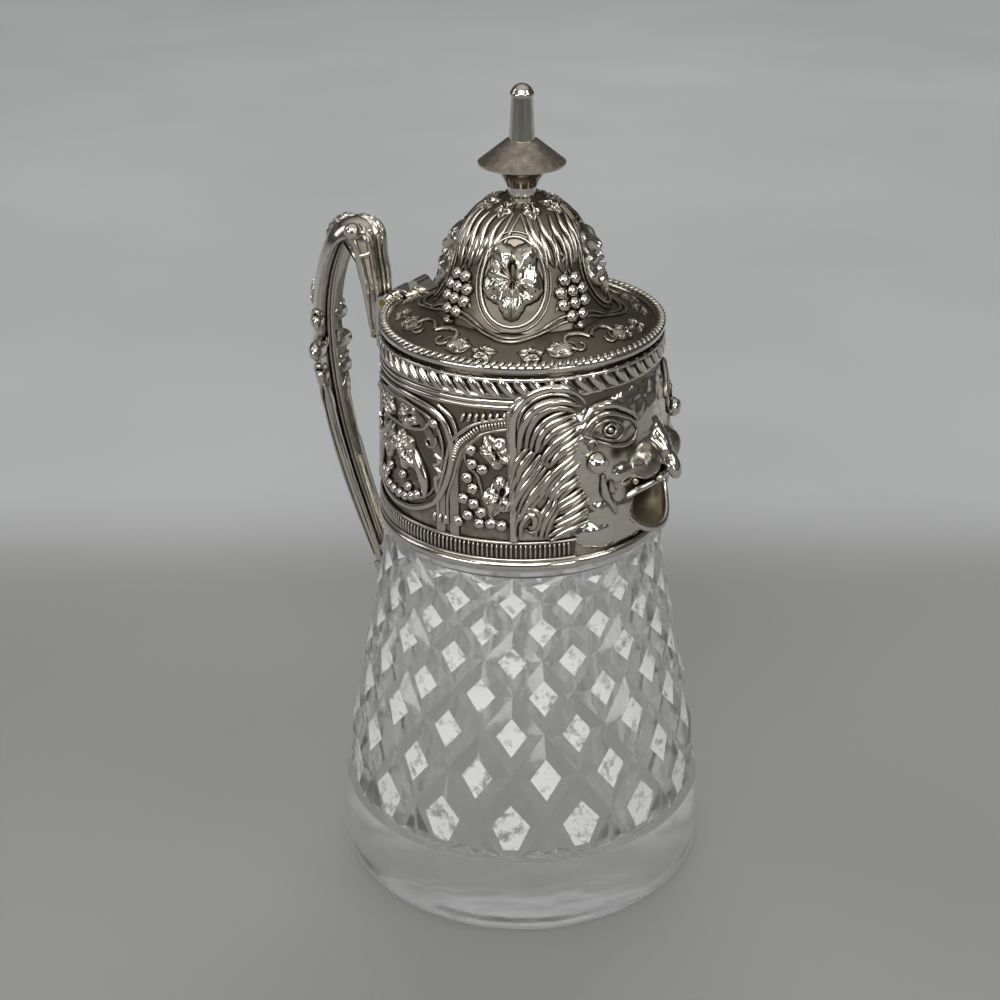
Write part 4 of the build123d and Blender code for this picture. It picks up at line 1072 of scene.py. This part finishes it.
panel_rib = wire("panel_rib", panel_line(0.0), 0.36)
panel_outer_rib = wire("panel_outer_rib", panel_line(1.05), 0.3)
crown_rib = wire("crown_rib", [(5.4 - 4.6 * (k / 12) ** 0.7, 22.4 + 9.6 * k / 12)
                               for k in range(13)], 0.34)
ribbon_rib = wire("ribbon_rib", [(22.2 * (k / 20 - 0.5), 9.2 - 2.3 * cos(2 * pi * (k / 20 - 0.5)))
                                 for k in range(21)], 0.4)
crown_fold = wire("crown_fold", [(0.45 * sin(k / 1.7), 20.5 + 1.0 * k) for k in range(12)], 0.62,
                  tapered)
flange_scroll = wire("flange_scroll", spiral(0.5, 0.19, 2.4, range(17)), 0.5, widening)
long_leaf = wire("long_leaf", [(0.5 * sin(k / 3.5), 0.75 * k) for k in range(13)], 0.8, leaf_swell,
                 flat=0.8)
oval_form = bead("flange_oval", 20, 10, (2.5, 1.5, 0.65))
oval_rim = wire("oval_rim", oval(3.0, 1.95, 24), 0.24)
stamping = []
for number in range(4):
    spot = (on_lid, radians(panel_turn + 90 * number))
    between = (on_lid, radians(panel_turn + 45 + 90 * number))
    lay(stamping, panel_rib, *spot, 0, 0, lift=0.2)
    lay(stamping, panel_outer_rib, *spot, 0, 0, lift=0.1)
    for side in (-1, 1):
        lay(stamping, crown_rib, *spot, 0, 0, flip=side, lift=0.15)
        lay(stamping, crown_rib, *spot, 1.3 * side, 0, flip=side, lift=0.1)
        lay(stamping, flange_scroll, *between, 3.6, 4.0, 2.4, 1.0, side, 0.1)
        lay(stamping, leaf_form, *between, 8.0, 3.4, 1.2, 0.66, side, 0.05)
        lay(stamping, oval_form, *spot, 10.6, 3.4, -0.15, 1.0, side, 0.05)
        lay(stamping, oval_rim, *spot, 10.6, 3.4, -0.15, 1.0, side, 0.1)
        lay(stamping, leaf_form, *spot, 4.6, 2.6, 1.35, 0.62, side, 0.05)
        for step in range(3):
            lay(stamping, long_leaf, *between, 1.1 + 1.5 * step, 19.6 + 1.1 * step, -0.12 * step,
                0.86, side, 0.1)
            lay(stamping, long_leaf, *spot, 8.3 + 0.4 * step, 12.4 + 4.2 * step, -0.5, 0.5, side,
                0.1)
    lay(stamping, leaf_form, *spot, 0, panel_middle + 0.5, pi, 1.78, 1, 0.1, 1.2)
    lay(stamping, ribbon_rib, *spot, 0, 0.0, lift=0.15)
    lay(stamping, ribbon_rib, *spot, 0, -1.1, lift=0.15)
    for row, wide in enumerate((1, 2, 3, 3, 2)):
        for place in range(wide):
            lay(stamping, grape_form, *between, 2.5 * (place - (wide - 1) / 2), 8.9 + 2.35 * row,
                0, 1.35, 1, 0.4, 1.1)
    for place in range(5):
        lay(stamping, crown_fold, *between, 2.2 * (place - 2), 0.5 * (place % 2), lift=0.1)
for step in range(8):
    lay(stamping, leaf_form, on_lid, radians(45 * step), 0, lid_way[-1] - 2.6, pi, 0.6, 1, 0.1)
silver_ground = oxidised("silver_plate_matted_ground", 0, 0, "#7F786C")
nodes["lid_cover"].data.materials[0] = silver_ground
gather(stamping, "lid_chasing", silver_chased, "lid")

# Rope border. Half-round wire soldered round the lid's rim, with slanted strokes rolled into it.
rim_r = 27.65
rim_wire = 1.05
rim_height = 122.95
stroke_count = 112


def on_rim(angle, across, up, out):
    """The place on the rim wire, with up measured round the wire from its outermost line."""
    reach = rim_wire + out
    radius = rim_r + reach * cos(up / rim_wire)
    turn = angle + across / (rim_r + rim_wire)
    height = rim_height + reach * sin(up / rim_wire)
    return Vector((radius * cos(turn), radius * sin(turn), height)) * mm


bpy.ops.mesh.primitive_torus_add(major_radius=rim_r * mm, minor_radius=rim_wire * mm,
                                 major_segments=128, minor_segments=14,
                                 location=(0, 0, rim_height * mm))
rim_ring = start("rim_wire")
bpy.ops.object.mode_set(mode="OBJECT")
for mark in rim_ring.data.attributes.new("height", "FLOAT", "POINT").data:
    mark.value = 1.0
strokes = [rim_ring]
for number in range(stroke_count):
    lay(strokes, bar_form, on_rim, 2 * pi * number / stroke_count, 0, 1.45, 1.0, 1.75, 1, -0.42,
        0.5)
rope = gather(strokes, "rope_border_strokes", silver_chased, "lid")
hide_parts("rope_border")

# Reeded band at the collar's foot: rolled strip with fine upright reeds, open at the throat.
reed_count = 150
reed_middle = 85.4
reed_stretch = 2.1
reed_line_r = 29.2
reed_open = radians(41)
bpy.ops.mesh.primitive_grid_add(x_subdivisions=120, y_subdivisions=4, size=2)
reed_strip = start("reed_strip")
bpy.ops.transform.resize(value=((pi - reed_open) * reed_line_r, 2.05, 1))
bpy.ops.object.mode_set(mode="OBJECT")
reeds = []
lay(reeds, reed_strip, on_collar, pi, 0, reed_middle, lift=0.25)
bpy.data.objects.remove(reed_strip)
for number in range(reed_count):
    angle = reed_open + (2 * pi - 2 * reed_open) * (number + 0.5) / reed_count
    lay(reeds, bar_form, on_collar, angle, 0, reed_middle, pi / 2, 1.0, 1, 0.3)
for vertex in [v for piece in reeds[1:] for v in piece.data.vertices]:
    vertex.co.z = reed_middle * mm + (vertex.co.z - reed_middle * mm) * reed_stretch
for height in (83.6, 87.3):
    edge_line = [((pi - reed_open) * reed_line_r * (k / 60 - 1), 0) for k in range(121)]
    reed_edge = wire("reed_edge", edge_line, 0.35)
    lay(reeds, reed_edge, on_collar, pi, 0, height, lift=0.45)
reed_band = gather(reeds, "reeded_band_fine", silver_chased, "jug")
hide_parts("reeded_band")

# Finial disc: spun cone that was lacquered once and has gone dull and brownish on its upper side.
silver_dulled, dull_place = fresh_material("silver_plate_dulled")
dull_spots = add(silver_dulled, "TexNoise", "Fac",
                 {"Vector": dull_place, "Scale": 700.0, "Detail": 5.0})
dull_normal = add(silver_dulled, "NewGeometry", "Normal", {})
dull_up = add(silver_dulled, "SeparateXYZ", "Z", {"Vector": dull_normal})
dull_side = add(silver_dulled, "MapRange", "Result",
                {"Value": dull_up, "From Min": 0.0, "From Max": 0.35})
dull_top = add(silver_dulled, "ValToRGB", "Color", {"Fac": dull_spots},
               [(0.3, "#8D8277"), (0.55, "#A89E93"), (0.75, "#C2BAB0")])
dull_colour = add(silver_dulled, "Mix", "Result",
                  {"Factor": dull_side, "A": tint("#CFC8BD"), "B": dull_top}, data_type="RGBA")
dull_rough = add(silver_dulled, "MapRange", "Result",
                 {"Value": dull_side, "To Min": 0.12, "To Max": 0.42})
close_material(silver_dulled, Base_Color=dull_colour, Metallic=1.0, Roughness=dull_rough)
nodes["finial_disc"].data.materials[0] = silver_dulled

# Hinge pin, washer and nut. Plain drawn brass, faintly browned, that was never plated.
brass_drawn, brass_place = fresh_material("brass_drawn_plain")
brass_spots = add(brass_drawn, "TexNoise", "Fac",
                  {"Vector": brass_place, "Scale": 500.0, "Detail": 4.0})
brass_tone = add(brass_drawn, "ValToRGB", "Color", {"Fac": brass_spots},
                 [(0.3, "#8C7444"), (0.6, "#C2A463"), (0.8, "#D2B878")])
close_material(brass_drawn, Base_Color=brass_tone, Metallic=1.0, Roughness=0.27)
for name in ("hinge_pin", "finial_washer", "finial_nut"):
    nodes[name].data.materials[0] = brass_drawn

# Cement bed. Plaster of Paris that holds the collar on the glass neck: matt, off-white, with pores.
plaster_set, plaster_place = fresh_material("plaster_cast_porous")
plaster_pores = add(plaster_set, "TexNoise", "Fac",
                    {"Vector": plaster_place, "Scale": 900.0, "Detail": 6.0})
plaster_tone = add(plaster_set, "ValToRGB", "Color", {"Fac": plaster_pores},
                   [(0.35, "#B8B2A4"), (0.6, "#D8D4C8")])
plaster_bump = add(plaster_set, "Bump", "Normal",
                   {"Height": plaster_pores, "Strength": 0.5, "Distance": 0.2 * mm})
close_material(plaster_set, Base_Color=plaster_tone, Roughness=0.9, Normal=plaster_bump)
nodes["cement_bed"].data.materials[0] = plaster_set

for form in (leaf_form, grape_form, bar_form, oval_form, gadroon_form, ball_form, plate_form):
    bpy.data.objects.remove(form)
